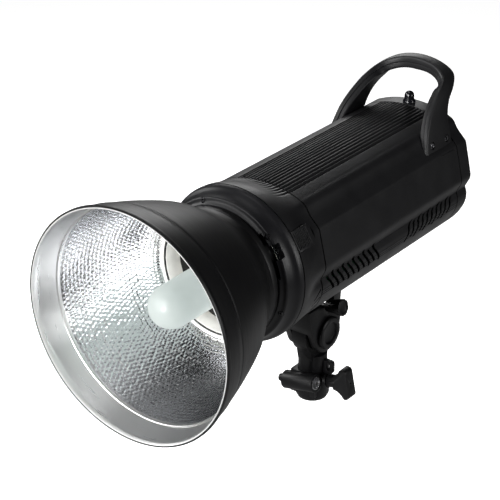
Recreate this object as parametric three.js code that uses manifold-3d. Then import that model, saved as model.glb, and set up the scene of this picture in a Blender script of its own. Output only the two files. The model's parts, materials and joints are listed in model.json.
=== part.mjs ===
// Monolight studio strobe: a mains flash head with a bayonet reflector, a modelling lamp, a carrying handle
// and a tilting stand bracket. Millimetres, +Z up, light thrown along -Y.
// The origin is the centre of the stand socket's mouth, where the lamp stands on a light stand's stud.
import * as THREE from "three";
import { mergeVertices } from "three/addons/utils/BufferGeometryUtils.js";
import Module from "manifold-3d";

const wasm = await Module();
wasm.setup();

// ---- Driving dimensions -------------------------------------------------------------------------------
const GAP = 0.3; // clearance between neighbouring pieces
const COLUMN_Y = 266; // reflector rim to stand column
const AXIS_HEIGHT = 190; // optical axis above the socket's mouth
const PIVOT_HEIGHT = 73.5; // tilt axis above the socket's mouth

const RIM_RADIUS = 105;
const NECK_RADIUS = 61.5;
const NECK_Y = 117.5; // the reflector's shell ends here
const SHEET = 1.2; // spun aluminium of the reflector
const COLLAR_RADIUS = 57.2;
const LUG_RADIUS = 61.5;
const LUG_FRONT_Y = 132.6;
const LUG_REAR_Y = 136;

const MOUNT_FRONT_Y = 126.9;
const MOUNT_REAR_Y = 146.7;
const BODY_FRONT_Y = 186; // seam between front housing and body shells
const BODY_REAR_Y = 415; // seam between body shells and rear cover
const REAR_Y = 435;
const BODY_WALL = 2.8;
const PARTING_Z = -12.6; // the side groove where the two body shells meet
const BODY_BOTTOM_Z = -66;
const FRONT_BORE = 56; // clear radius through mount ring and front housing

const RIB_COUNT = 15;
const RIB_PITCH = 3.8;
const RIB_DEPTH = 1.5;

const LAMP_Z = -3.8; // the modelling lamp sits a little under the optical axis
const LAMP_RADIUS = 19.2;
const LAMP_TIP_Y = 38.3;
const LAMP_NECK_RADIUS = 13.2;

const RELEASE_ANGLE = 31.5; // degrees from +X towards +Z, seen along the light axis
const RELEASE_TRAVEL = 6;

const CROSS_TILT = 12; // degrees: the cross tube, the clamp screw and the tilt lock rise towards +X
const STUD_RADIUS = 8.2; // socket for a 16 mm stand stud
const PIVOT_BORE = 4.4; // radius of the holes for the 8 mm pivot bolt

// ---- Materials ----------------------------------------------------------------------------------------
const finish = (color, roughness, metalness = 0) => ({ color, roughness, metalness });
const CHARCOAL = finish(0x2b2b2e, 0.6);
const CHARCOAL_DARK = finish(0x202022, 0.65);
const CASTING = finish(0x28282a, 0.5, 0.2);
const SOFT_BLACK = finish(0x121213, 0.8);
const GLOSS_BLACK = finish(0x08080a, 0.12);
const SATIN_BLACK = finish(0x19191b, 0.35, 0.3);
const SILVER = finish(0xd6d8da, 0.25, 1);
const STEEL = finish(0x9a9ca0, 0.35, 1);
const CERAMIC = finish(0xece6d8, 0.7);
const FROSTED = finish(0xcfdad6, 0.45);
const CLEAR_GLASS = finish(0xdfe6e8, 0.1);
const BOARD_GREEN = finish(0x1f5a34, 0.55);
const CAN_BLUE = finish(0x22304f, 0.35);

// ---- Solids -------------------------------------------------------------------------------------------
// A closed three.js geometry as a manifold solid with its faces outwards.
function solid(geometry) {
  const bare = new THREE.BufferGeometry();
  bare.setAttribute("position", geometry.getAttribute("position"));
  if (geometry.index) bare.setIndex(geometry.index);
  const merged = mergeVertices(bare, 1e-4);
  const vertProperties = new Float32Array(merged.getAttribute("position").array);
  const triVerts = new Uint32Array(merged.index.array);
  const made = new wasm.Manifold(new wasm.Mesh({ numProp: 3, vertProperties, triVerts }));
  if (made.volume() > 0) return made;
  for (let i = 0; i < triVerts.length; i += 3) {
    [triVerts[i + 1], triVerts[i + 2]] = [triVerts[i + 2], triVerts[i + 1]];
  }
  return new wasm.Manifold(new wasm.Mesh({ numProp: 3, vertProperties, triVerts }));
}

const join = (first, ...others) => others.reduce((whole, next) => whole.add(next), first);
const cut = (first, ...others) => others.reduce((whole, next) => whole.subtract(next), first);

function geometryOf(made) {
  const mesh = made.getMesh();
  const geometry = new THREE.BufferGeometry();
  geometry.setAttribute("position", new THREE.BufferAttribute(mesh.vertProperties, 3));
  geometry.setIndex(new THREE.BufferAttribute(mesh.triVerts, 1));
  return geometry;
}

const radians = THREE.MathUtils.degToRad;
const moved = (made, matrix) => solid(geometryOf(made).applyMatrix4(matrix));
const shifted = (made, x, y, z) => moved(made, new THREE.Matrix4().makeTranslation(x, y, z));
const turnedX = (made, degrees) => moved(made, new THREE.Matrix4().makeRotationX(radians(degrees)));
const turnedY = (made, degrees) => moved(made, new THREE.Matrix4().makeRotationY(radians(degrees)));

const ALONG = {
  x: new THREE.Matrix4().makeBasis(
    new THREE.Vector3(0, 1, 0), new THREE.Vector3(0, 0, 1), new THREE.Vector3(1, 0, 0)),
  y: new THREE.Matrix4().makeRotationX(Math.PI / 2),
  z: new THREE.Matrix4(),
};

function box(x0, x1, y0, y1, z0, z1) {
  const geometry = new THREE.BoxGeometry(x1 - x0, y1 - y0, z1 - z0);
  return solid(geometry.translate((x0 + x1) / 2, (y0 + y1) / 2, (z0 + z1) / 2));
}

// Round bar or cone along an axis, from start to end, centred on the two other coordinates in order.
function bar(axis, start, end, [u, v], radius, sides = 20, endRadius = radius) {
  const geometry = new THREE.CylinderGeometry(endRadius, radius, end - start, sides);
  const middle = (start + end) / 2;
  if (axis === "x") return solid(geometry.rotateZ(-Math.PI / 2).translate(middle, u, v));
  if (axis === "y") return solid(geometry.translate(u, middle, v));
  return solid(geometry.rotateX(Math.PI / 2).translate(u, v, middle));
}

// A shape drawn across an axis and extruded along it: (y, z) for x, (x, z) for y, (x, y) for z.
function prism(axis, shape, start, end, curveSegments = 6) {
  const options = { depth: end - start, bevelEnabled: false, curveSegments };
  const geometry = new THREE.ExtrudeGeometry(shape, options).applyMatrix4(ALONG[axis]);
  if (axis === "x") return solid(geometry.translate(start, 0, 0));
  if (axis === "y") return solid(geometry.translate(0, end, 0));
  return solid(geometry.translate(0, 0, start));
}

// A profile of [radius, y] turned about the optical axis.
function turned(profile, sides = 32) {
  const points = profile.map(([radius, y]) => new THREE.Vector2(radius, y));
  return solid(new THREE.LatheGeometry(points, sides));
}

// A closed ring profile: LatheGeometry needs its first point again at the end.
const turnedRing = (profile, sides) => turned([...profile, profile[0]], sides);

const polygon = (points) => new THREE.Shape(points.map(([u, v]) => new THREE.Vector2(u, v)));

function roundedRectangle(u0, u1, v0, v1, radius) {
  const shape = new THREE.Shape();
  shape.absarc(u1 - radius, v1 - radius, radius, 0, Math.PI / 2);
  shape.absarc(u0 + radius, v1 - radius, radius, Math.PI / 2, Math.PI);
  shape.absarc(u0 + radius, v0 + radius, radius, Math.PI, 1.5 * Math.PI);
  shape.absarc(u1 - radius, v0 + radius, radius, 1.5 * Math.PI, 2 * Math.PI);
  return shape;
}

// Skins equal-length rings of points, front to back, and closes both ends with a fan.
function loft(rings) {
  const count = rings[0].length;
  const positions = rings.flat().flatMap((p) => [p.x, p.y, p.z]);
  const index = [];
  for (let ring = 0; ring + 1 < rings.length; ring++) {
    for (let i = 0; i < count; i++) {
      const a = ring * count + i;
      const b = ring * count + ((i + 1) % count);
      index.push(a, b, b + count, a, b + count, a + count);
    }
  }
  [0, rings.length - 1].forEach((ring, end) => {
    const centre = positions.length / 3;
    const middle = rings[ring].reduce((sum, p) => sum.add(p), new THREE.Vector3()).divideScalar(count);
    positions.push(middle.x, middle.y, middle.z);
    for (let i = 0; i < count; i++) {
      const a = ring * count + i;
      const b = ring * count + ((i + 1) % count);
      index.push(...(end ? [centre, a, b] : [centre, b, a]));
    }
  });
  const geometry = new THREE.BufferGeometry();
  geometry.setAttribute("position", new THREE.Float32BufferAttribute(positions, 3));
  geometry.setIndex(index);
  return solid(geometry);
}

// Turns a solid about the light axis, so that local +X points at the angle from +X to +Z.
const aboutAxis = (made, degrees) => turnedY(made, -degrees);

function part(group, name, made, look) {
  const geometry = geometryOf(made);
  geometry.computeVertexNormals();
  const named = new THREE.Mesh(geometry, new THREE.MeshStandardMaterial(look));
  named.name = name;
  group.add(named);
}

// A cross-recessed or hexagon-socket screw along an axis: the head starts at headEnd and the shank at tip.
function screw(axis, tip, neck, headEnd, centre, headRadius, shankRadius) {
  const head = bar(axis, Math.min(neck, headEnd), Math.max(neck, headEnd), centre, headRadius, 10);
  const shank = bar(axis, Math.min(tip, neck), Math.max(tip, neck), centre, shankRadius, 6);
  const depth = (headEnd - neck) * 0.6;
  const socketEnds = [headEnd - depth, headEnd + depth].sort((a, b) => a - b);
  const socket = bar(axis, socketEnds[0], socketEnds[1], centre, headRadius * 0.5, 6);
  return cut(join(head, shank), socket);
}

// ---- The body's cross-section -------------------------------------------------------------------------
const crownHeight = (x) => 64 - 0.0052 * x * x;

// Right half of the outline, from the crown's middle down to the bottom's middle, without ribs.
function halfOutline() {
  const crown = Array.from({ length: 6 }, (_, i) => new THREE.Vector2(6.6 * i, crownHeight(6.6 * i)));
  const shoulder = new THREE.SplineCurve([
    new THREE.Vector2(38, 56.4),
    new THREE.Vector2(45, 52),
    new THREE.Vector2(50, 44.4),
    new THREE.Vector2(59, 35.4),
  ]).getPoints(8);
  const flank = [
    [66.8, 2.4], [66.8, -2.6], [61.8, PARTING_Z], [63.8, -17.6], [63.8, -24.6], [61.8, -31.2],
  ].map(([x, z]) => new THREE.Vector2(x, z));
  const bilge = new THREE.Path();
  bilge.absarc(0, 0, 70, (-42.6 * Math.PI) / 180, (-70.5 * Math.PI) / 180, true);
  return [...crown, ...shoulder, ...flank, ...bilge.getPoints(5), new THREE.Vector2(0, BODY_BOTTOM_Z)];
}

const HALF_OUTLINE = halfOutline();

// The whole outline as a ring, grown or shrunk square to the surface by `grow`.
function outline(grow = 0) {
  const left = HALF_OUTLINE.slice(1, -1).reverse().map((p) => new THREE.Vector2(-p.x, p.y));
  const ring = [...HALF_OUTLINE, ...left];
  return ring.map((p, i) => {
    const before = ring[(i + ring.length - 1) % ring.length];
    const after = ring[(i + 1) % ring.length];
    const along = after.clone().sub(before).normalize();
    return new THREE.Vector2(p.x - along.y * grow, p.y + along.x * grow);
  });
}

const bodyPrism = (grow, y0, y1) => prism("y", new THREE.Shape(outline(grow)), y0, y1);

// Distance from the light axis to the outline at an angle, for blending the round front into the body.
function outlineRadius(angle) {
  const ring = outline();
  const direction = new THREE.Vector2(Math.cos(angle), Math.sin(angle));
  for (let i = 0; i < ring.length; i++) {
    const a = ring[i];
    const edge = ring[(i + 1) % ring.length].clone().sub(a);
    const across = direction.cross(edge);
    const share = a.cross(direction) / across;
    const reach = a.cross(edge) / across;
    if (share >= 0 && share <= 1 && reach > 0) return reach;
  }
  throw new Error("the outline is open");
}

// Grooves between the crown's ribs, cut along the whole shell.
function ribGrooves(y0, y1) {
  return Array.from({ length: RIB_COUNT }, (_, i) => {
    const x = (i - (RIB_COUNT - 1) / 2) * RIB_PITCH;
    const z = crownHeight(x);
    return prism("y", polygon([[x - 0.9, z + 1], [x + 0.9, z + 1], [x, z - RIB_DEPTH]]), y0, y1);
  });
}

// ---- Head: reflector ----------------------------------------------------------------------------------
const LIP_WIDTH = 2.4; // the rolled rim is flat in front, where the front face of a grid or diffuser lies
function reflectorBowl() {
  const outer = [
    [RIM_RADIUS - LIP_WIDTH, 0], [RIM_RADIUS - 1, 0], [RIM_RADIUS, 1], [RIM_RADIUS, 3.2],
    [103.9, 4.4], [101, 20], [98.2, 29], [92, 50], [80.9, 80], [68.8, 100], [63.4, 110],
    [NECK_RADIUS, NECK_Y],
  ];
  const inner = outer.slice(5, -1).reverse().map(([radius, y]) => [radius - SHEET, y]);
  const neckMouth = [[NECK_RADIUS - 4.5, NECK_Y], [NECK_RADIUS - 4.5, NECK_Y - SHEET]];
  const innerNeck = [[NECK_RADIUS - SHEET, NECK_Y - SHEET]];
  return turnedRing([...outer, ...neckMouth, ...innerNeck, ...inner, [RIM_RADIUS - LIP_WIDTH, 2]]);
}

function sector(innerRadius, outerRadius, y0, y1, middle, width) {
  const half = (width * Math.PI) / 360;
  const centre = (middle * Math.PI) / 180;
  const shape = new THREE.Shape();
  shape.absarc(0, 0, outerRadius, centre - half, centre + half);
  shape.absarc(0, 0, innerRadius, centre + half, centre - half, true);
  return prism("y", shape, y0, y1, 3);
}

const LUG_ANGLES = [90, 210, 330];
const LUG_WIDTH = 34;

const SEAT_CLEARANCE = 2.2; // between the reflector's sleeve and the mount ring's face

// The thick sleeve behind the neck comes close to the mount ring and covers its entry notches.
function reflectorCollar() {
  const sleeve = { radius: NECK_RADIUS - 0.5, front: NECK_Y + GAP, rear: MOUNT_FRONT_Y - SEAT_CLEARANCE };
  const tube = turnedRing([
    [COLLAR_RADIUS, LUG_REAR_Y], [COLLAR_RADIUS, sleeve.rear], [sleeve.radius, sleeve.rear],
    [sleeve.radius, sleeve.front], [COLLAR_RADIUS - 2, sleeve.front], [COLLAR_RADIUS - 2, LUG_REAR_Y],
  ]);
  const lugs = LUG_ANGLES.map((angle) =>
    sector(COLLAR_RADIUS - 1, LUG_RADIUS, LUG_FRONT_Y, LUG_REAR_Y, angle, LUG_WIDTH));
  return join(tube, ...lugs);
}

// ---- Head: bayonet mount, lamp and flash tube -----------------------------------------------------------
const SCREW_ANGLES = [110, 45, -20, -85, -150];
const MOUNT_SCREW_RADIUS = 64.3; // of the circle that the five screws stand on
const HOUSING_RADIUS = 72.8; // where the mount ring meets the front housing
const LUG_CLEARANCE = 0.6;
const PIN_RADIUS = 60.4; // of the circle that the locking pin stands on
const PIN_HOLE = 3.1;

function mountRing() {
  const ring = turnedRing([
    [COLLAR_RADIUS + 0.5, MOUNT_FRONT_Y], [61, MOUNT_FRONT_Y], [65.8, 129.6], [66.8, 131.5], [69, 138],
    [71.5, 141], [HOUSING_RADIUS, MOUNT_REAR_Y - GAP], [FRONT_BORE, MOUNT_REAR_Y - GAP], [FRONT_BORE, 137],
    [LUG_RADIUS + LUG_CLEARANCE, 137], [LUG_RADIUS + LUG_CLEARANCE, 132.2], [COLLAR_RADIUS + 0.5, 132.2],
  ]);
  const entries = LUG_ANGLES.map((angle) =>
    sector(FRONT_BORE, LUG_RADIUS + LUG_CLEARANCE, MOUNT_FRONT_Y - 1, 133, angle + 60, LUG_WIDTH + 6));
  const pockets = SCREW_ANGLES.map((angle) => {
    const pocket = join(
      bar("y", 120, 131, [MOUNT_SCREW_RADIUS, 0], 2.5, 10),
      bar("y", 130, 150, [MOUNT_SCREW_RADIUS, 0], 1.6, 6));
    return aboutAxis(pocket, angle);
  });
  const window = aboutAxis(box(58.5, 67.4, 120, 134.5, -6.8, 6.8), RELEASE_ANGLE);
  const pinHole = aboutAxis(bar("y", 130, 150, [PIN_RADIUS, 0], PIN_HOLE, 12), RELEASE_ANGLE);
  return cut(ring, ...entries, ...pockets, window, pinHole);
}

const mountScrew = (angle) =>
  aboutAxis(screw("y", 145.5, 130.7, 129, [MOUNT_SCREW_RADIUS, 0], 2.1, 1.2), angle);

// Three slanted drain slots low on the near side of the housing, just in front of its rear seam.
const DRAIN_LEAN = 34;
const DRAINS = [
  { angle: -21, y: 178.5, length: 12.5 },
  { angle: -27.5, y: 179, length: 12 },
  { angle: -35, y: 180.5, length: 7 },
];

// The housing's front is a circle and its back is the body's outline.
function frontHousing() {
  const sides = 48;
  const stations = [0, 0.35, 0.7, 1];
  const rings = stations.map((share) => {
    const y = MOUNT_REAR_Y + share * (BODY_FRONT_Y - GAP - MOUNT_REAR_Y);
    const blend = share * share * (3 - 2 * share);
    return Array.from({ length: sides }, (_, i) => {
      const angle = (2 * Math.PI * i) / sides;
      const radius = HOUSING_RADIUS * (1 - blend) + outlineRadius(angle) * blend;
      return new THREE.Vector3(radius * Math.cos(angle), y, radius * Math.sin(angle));
    });
  });
  const bore = bar("y", 140, 190, [0, 0], FRONT_BORE + 2, 32);
  const track = aboutAxis(box(68, 80, 140, 177, -9.9, 9.9), RELEASE_ANGLE);
  const armSlot = aboutAxis(box(50, 70, 152, 169, -3.4, 3.4), RELEASE_ANGLE);
  const pinBore = aboutAxis(bar("y", 140, 153, [PIN_RADIUS, 0], PIN_HOLE, 12), RELEASE_ANGLE);
  const drains = DRAINS.map(({ angle, y, length }) => {
    const slot = turnedX(box(-9, 9, -length / 2, length / 2, -0.9, 0.9), DRAIN_LEAN);
    return aboutAxis(shifted(slot, 67, y, 0), angle);
  });
  return cut(loft(rings), bore, track, armSlot, pinBore, ...drains);
}

function releaseSlider() {
  const pad = box(68.3, 72.6, 147.3, 169, -9.5, 9.5);
  const grooves = Array.from({ length: 9 }, (_, i) =>
    box(71.9, 74, 149.2 + 2 * i, 150.1 + 2 * i, -7.5, 7.5));
  const arm = box(62.4, 69, 156, 161, -3, 3);
  return aboutAxis(join(cut(pad, ...grooves), arm), RELEASE_ANGLE);
}

function lockingPin() {
  const pin = bar("y", LUG_REAR_Y + GAP, 156, [PIN_RADIUS, 0], PIN_HOLE - 0.5, 12);
  const foot = box(58.4, 62.1, 154, 161, -3, 3);
  return aboutAxis(join(pin, foot), RELEASE_ANGLE);
}

const BULKHEAD_Y = 180;

function frontBulkhead() {
  const plate = bar("y", BULKHEAD_Y, BULKHEAD_Y + 2, [0, 0], FRONT_BORE + 1.6, 32);
  return cut(plate, bar("y", 170, 190, [0, LAMP_Z], 19, 24));
}

const FLASH_RING_RADIUS = 36;
const FLASH_TUBE_RADIUS = 4.2;
const FLASH_RING_Y = 146;

// A glass ring round the modelling lamp with two legs down into the ceramic base.
function flashTube() {
  const start = -112;
  const sweep = 316;
  const onRing = (share, radius, y) => {
    const angle = ((start + sweep * share) * Math.PI) / 180;
    return new THREE.Vector3(radius * Math.cos(angle), y, radius * Math.sin(angle));
  };
  const ringPoints = Array.from({ length: 17 }, (_, i) => onRing(i / 16, FLASH_RING_RADIUS, FLASH_RING_Y));
  const legs = [0, 1].map((share) => onRing(share, FLASH_RING_RADIUS, 168));
  const knees = [0, 1].map((share) => onRing(share, FLASH_RING_RADIUS, 155));
  const path = new THREE.CatmullRomCurve3(
    [legs[0], knees[0], ...ringPoints, knees[1], legs[1]], false, "catmullrom", 0.5);
  const section = new THREE.Shape();
  section.absarc(0, 0, FLASH_TUBE_RADIUS, 0, 2 * Math.PI);
  const options = { extrudePath: path, steps: 32, bevelEnabled: false, curveSegments: 4 };
  return { tube: solid(new THREE.ExtrudeGeometry(section, options)), legs };
}

const FLASH = flashTube();

function flashTubeBase() {
  const ring = turnedRing([[26, 160], [50, 160], [54, 164], [54, 172], [26, 172]], 24);
  const sockets = FLASH.legs.map((leg) => bar("y", 150, 168.4, [leg.x, leg.z], FLASH_TUBE_RADIUS + 0.5, 12));
  const posts = FLASH.legs.map((leg) => bar("y", 154, 165, [leg.x, leg.z], FLASH_TUBE_RADIUS + 3.4, 12));
  return cut(join(ring, ...posts), ...sockets);
}

function lampSocket() {
  const shell = bar("y", 164, 196, [0, LAMP_Z], 18, 24);
  const thread = bar("y", 150, 192, [0, LAMP_Z], 13.6, 20);
  return cut(shell, thread);
}

// Tubular frosted bulb: a dome, a straight envelope and a drawn-in neck, open at the cap end.
function modellingLamp() {
  const wall = 1.1;
  const dome = (radius) => Array.from({ length: 5 }, (_, i) => {
    const angle = (Math.PI / 2) * (i / 4);
    return [radius * Math.sin(angle), LAMP_TIP_Y + LAMP_RADIUS - radius * Math.cos(angle)];
  });
  const neck = [[LAMP_RADIUS, 140], [17, 152], [LAMP_NECK_RADIUS, 161], [LAMP_NECK_RADIUS, 164]];
  const innerNeck = neck.map(([radius, y]) => [radius - wall, y]).reverse();
  const profile = [...dome(LAMP_RADIUS), ...neck, ...innerNeck, ...dome(LAMP_RADIUS - wall).reverse()];
  return shifted(turned(profile, 20), 0, 0, LAMP_Z);
}

function lampCap() {
  const shell = bar("y", 164.3, 186, [0, LAMP_Z], 13, 20);
  const insulator = bar("y", 186, 189, [0, LAMP_Z], 9, 20, 6);
  return join(shell, insulator, bar("y", 188.5, 190.5, [0, LAMP_Z], 3.5, 12));
}

// ---- Head: body -----------------------------------------------------------------------------------------
// Two groups of bent slots through each lower side wall. A slot's middle line is given as [y, z], with y from
// its group's first place; the front group leans back as it goes down and the rear group leans forward.
const VENT_COUNT = 10;
const VENT_WIDTH = 3.4;
const VENT_GROUPS = [
  { y: 195.1, pitch: 8.13, line: [[0, -14], [0.2, -15.5], [7.8, -25.4], [8.6, -28.7]] },
  { y: 333.1, pitch: 8.17, line: [[-3.4, -14], [-5.6, -16.5], [-6.3, -21.5], [-11.5, -28.9]] },
];

function vent(side, y, line) {
  const front = line.map(([v, z]) => [y + v - VENT_WIDTH / 2, z]);
  const rear = line.map(([v, z]) => [y + v + VENT_WIDTH / 2, z]).reverse();
  const [from, to] = side > 0 ? [50, 75] : [-75, -50];
  return prism("x", polygon([...front, ...rear]), from, to);
}

const allVents = () => [1, -1].flatMap((side) => VENT_GROUPS.flatMap(({ y, pitch, line }) =>
  Array.from({ length: VENT_COUNT }, (_, i) => vent(side, y + pitch * i, line))));

const HANDLE_SCREW_YS = [378, 403];
const HANDLE_SCREW_Z = 46;
const HANDLE_SHANK_HOLE = 2.1;
const HANDLE_HEAD_HOLE = 3.6;

const handleScrewHoles = (radius) => [1, -1].flatMap((side) => HANDLE_SCREW_YS.map((y) =>
  bar("x", side > 0 ? 40 : -60, side > 0 ? 60 : -40, [y, HANDLE_SCREW_Z], radius, 10)));

function bodyShell() {
  const inside = bodyPrism(-BODY_WALL, BODY_FRONT_Y - 1, BODY_REAR_Y + 1);
  return cut(bodyPrism(0, BODY_FRONT_Y, BODY_REAR_Y), inside);
}

function topShell() {
  const below = box(-90, 90, 180, 420, -90, PARTING_Z + GAP / 2);
  const grooves = ribGrooves(BODY_FRONT_Y - 1, BODY_REAR_Y + 1);
  return cut(bodyShell(), below, ...grooves, ...handleScrewHoles(HANDLE_SHANK_HOLE));
}

const BRACKET_SCREWS = [229, 299]; // y of the two screws under the body
const BRACKET_SCREW_HOLE = 2.9;

function bottomShell() {
  const above = box(-90, 90, 180, 420, PARTING_Z - GAP / 2, 90);
  const holes = BRACKET_SCREWS.map((y) => bar("z", -80, -50, [0, y], BRACKET_SCREW_HOLE, 12));
  return cut(bodyShell(), above, ...allVents(), ...holes);
}

const PANEL = { x: 43, bottom: -50, top: 46, thickness: 2.5 };

function rearCover() {
  const rings = [BODY_REAR_Y + GAP, REAR_Y - 4, REAR_Y].map((y, i) =>
    outline(i === 2 ? -3 : 0).map((p) => new THREE.Vector3(p.x, y, p.y)));
  const hollow = bodyPrism(-BODY_WALL - 0.4, BODY_REAR_Y - 1, REAR_Y - 6);
  const { x, bottom, top, thickness } = PANEL;
  const seat = box(-x - GAP, x + GAP, REAR_Y - thickness - GAP, REAR_Y + 5, bottom - GAP, top + GAP);
  const opening = box(-x + 3, x - 3, REAR_Y - 10, REAR_Y, bottom + 3, top - 3);
  const sensorHole = bar("z", 55, 70, [0, 422], 3.4, 12);
  return cut(loft(rings), hollow, seat, opening, sensorHole);
}

// ---- Head: rear panel ---------------------------------------------------------------------------------
const PANEL_FRONT = REAR_Y - PANEL.thickness;
const DIAL = [26, 28];
const DISPLAY = { x0: -36, x1: 8, z0: 16, z1: 40 };
const BUTTON_XS = [-28, -10, 8];
const BUTTON_NAMES = ["test_button", "modelling_button", "slave_button"];
const BUTTON_Z = 5;
const SYNC = [30, 4];
const ROCKER = { x: 28, z: -20 };
const INLET = { x: -12, z: -26 };
const FUSE = [28, -41];

function controlPanel() {
  const { x, bottom, top } = PANEL;
  const plate = prism("y", roundedRectangle(-x, x, bottom, top, 4), PANEL_FRONT, REAR_Y, 2);
  const through = (u0, u1, v0, v1) => box(u0, u1, PANEL_FRONT - 1, REAR_Y + 1, v0, v1);
  const round = (centre, radius) => bar("y", PANEL_FRONT - 1, REAR_Y + 1, centre, radius, 16);
  const buttonHoles = BUTTON_XS.map((u) => through(u - 6.3, u + 6.3, BUTTON_Z - 3.8, BUTTON_Z + 3.8));
  return cut(
    plate,
    box(DISPLAY.x0 - GAP, DISPLAY.x1 + GAP, REAR_Y - 1.5, REAR_Y + 1, DISPLAY.z0 - GAP, DISPLAY.z1 + GAP),
    round(DIAL, 3.4), round(SYNC, 4.3), round(FUSE, 5.2), ...buttonHoles,
    through(ROCKER.x - 6.8, ROCKER.x + 6.8, ROCKER.z - 9.8, ROCKER.z + 9.8),
    through(INLET.x - 13.8, INLET.x + 13.8, INLET.z - 10.3, INLET.z + 10.3));
}

const displayWindow = () =>
  box(DISPLAY.x0, DISPLAY.x1, REAR_Y - 1.2, REAR_Y + 0.4, DISPLAY.z0, DISPLAY.z1);

function controlDial() {
  const flutes = 20;
  const rim = Array.from({ length: flutes * 2 }, (_, i) => {
    const angle = (Math.PI * i) / flutes;
    const radius = i % 2 ? 9.5 : 10.2;
    return [DIAL[0] + radius * Math.cos(angle), DIAL[1] + radius * Math.sin(angle)];
  });
  const knob = prism("y", polygon(rim), REAR_Y + GAP, REAR_Y + 12);
  const mark = box(DIAL[0] - 0.7, DIAL[0] + 0.7, REAR_Y + 11.4, REAR_Y + 13, DIAL[1] + 3, DIAL[1] + 8);
  return join(cut(knob, mark), bar("y", REAR_Y - 12, REAR_Y + 1, DIAL, 3, 16));
}

// Each button has a collar behind the panel that keeps it in.
function pushButton(x) {
  const cap = box(x - 6, x + 6, REAR_Y - 8, REAR_Y + 1.6, BUTTON_Z - 3.5, BUTTON_Z + 3.5);
  return join(cap, box(x - 7.5, x + 7.5, REAR_Y - 8, REAR_Y - 4.4, BUTTON_Z - 5, BUTTON_Z + 5));
}

function powerRocker() {
  const profile = polygon([
    [REAR_Y - 6, ROCKER.z - 6], [REAR_Y + 0.6, ROCKER.z - 9], [REAR_Y + 0.2, ROCKER.z],
    [REAR_Y + 2.6, ROCKER.z + 8.6], [REAR_Y - 6, ROCKER.z + 6],
  ]);
  return prism("x", profile, ROCKER.x - 6.3, ROCKER.x + 6.3);
}

// Three-pin mains inlet: a shrouded pocket with blades inside.
function powerInlet() {
  const { x, z } = INLET;
  const shroud = box(x - 13.5, x + 13.5, REAR_Y - 17, REAR_Y + 1, z - 10, z + 10);
  const flange = box(x - 16, x + 16, REAR_Y + GAP, REAR_Y + 2, z - 12, z + 12);
  const pocket = box(x - 11.5, x + 11.5, REAR_Y - 14, REAR_Y + 5, z - 8, z + 8);
  const blades = [[-7, -2], [0, 2], [7, -2]].map(([u, v]) =>
    box(x + u - 1, x + u + 1, REAR_Y - 15, REAR_Y - 5, z + v - 2, z + v + 2));
  return join(cut(join(shroud, flange), pocket), ...blades);
}

function fuseCap() {
  const barrel = bar("y", REAR_Y - 14, REAR_Y + 0.5, FUSE, 4.8, 16);
  const cap = bar("y", REAR_Y + GAP, REAR_Y + 4, FUSE, 7, 20, 6.4);
  const slot = box(FUSE[0] - 5, FUSE[0] + 5, REAR_Y + 2.6, REAR_Y + 5, FUSE[1] - 0.7, FUSE[1] + 0.7);
  return cut(join(barrel, cap), slot);
}

function syncJack() {
  const barrel = bar("y", REAR_Y - 12, REAR_Y + 1, SYNC, 4, 16);
  const nut = bar("y", REAR_Y + GAP, REAR_Y + 2.2, SYNC, 6, 6);
  return cut(join(barrel, nut), bar("y", REAR_Y - 9, REAR_Y + 5, SYNC, 2.2, 12));
}

const SENSOR_Y = 422;

// Glossy dome on a skirt, with a stem down through the rear cover.
function slaveSensor() {
  const dome = Array.from({ length: 5 }, (_, i) => {
    const angle = (Math.PI / 2) * (i / 4);
    return new THREE.Vector2(4.8 * Math.cos(angle), 71 + 4.8 * Math.sin(angle));
  });
  const profile = [
    [0, 56], [3, 56], [3, 64.3], [6.4, 64.3], [6, 66.4], [4.8, 67.4],
  ].map(([radius, z]) => new THREE.Vector2(radius, z));
  dome[dome.length - 1].x = 0;
  const geometry = new THREE.LatheGeometry([...profile, ...dome], 16).rotateX(Math.PI / 2);
  return solid(geometry.translate(0, SENSOR_Y, 0));
}

// ---- Head: handle -------------------------------------------------------------------------------------
// The arch's front and rear outer edges, from the +X foot to the top; the -X half mirrors them.
const FRONT_EDGE = [
  [56.4, 366, 38], [53, 370, 52], [50.3, 376, 64], [46.8, 387, 76], [42.6, 404, 88],
  [36, 422, 96.5], [20, 430.5, 103.6],
];
const REAR_EDGE = [
  [56.4, 412, 38], [53.2, 411.5, 52], [50, 412.5, 64], [46.6, 419, 77], [42.4, 434, 88.5],
  [35.5, 443, 97], [20, 445.5, 103.8],
];
const ARCH_STEPS = 22;

function archEdge(points, topY, topZ) {
  const right = points.map((p) => new THREE.Vector3(...p));
  const left = right.map((p) => new THREE.Vector3(-p.x, p.y, p.z)).reverse();
  const path = new THREE.CatmullRomCurve3([...right, new THREE.Vector3(0, topY, topZ), ...left]);
  return path.getSpacedPoints(ARCH_STEPS);
}

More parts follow.
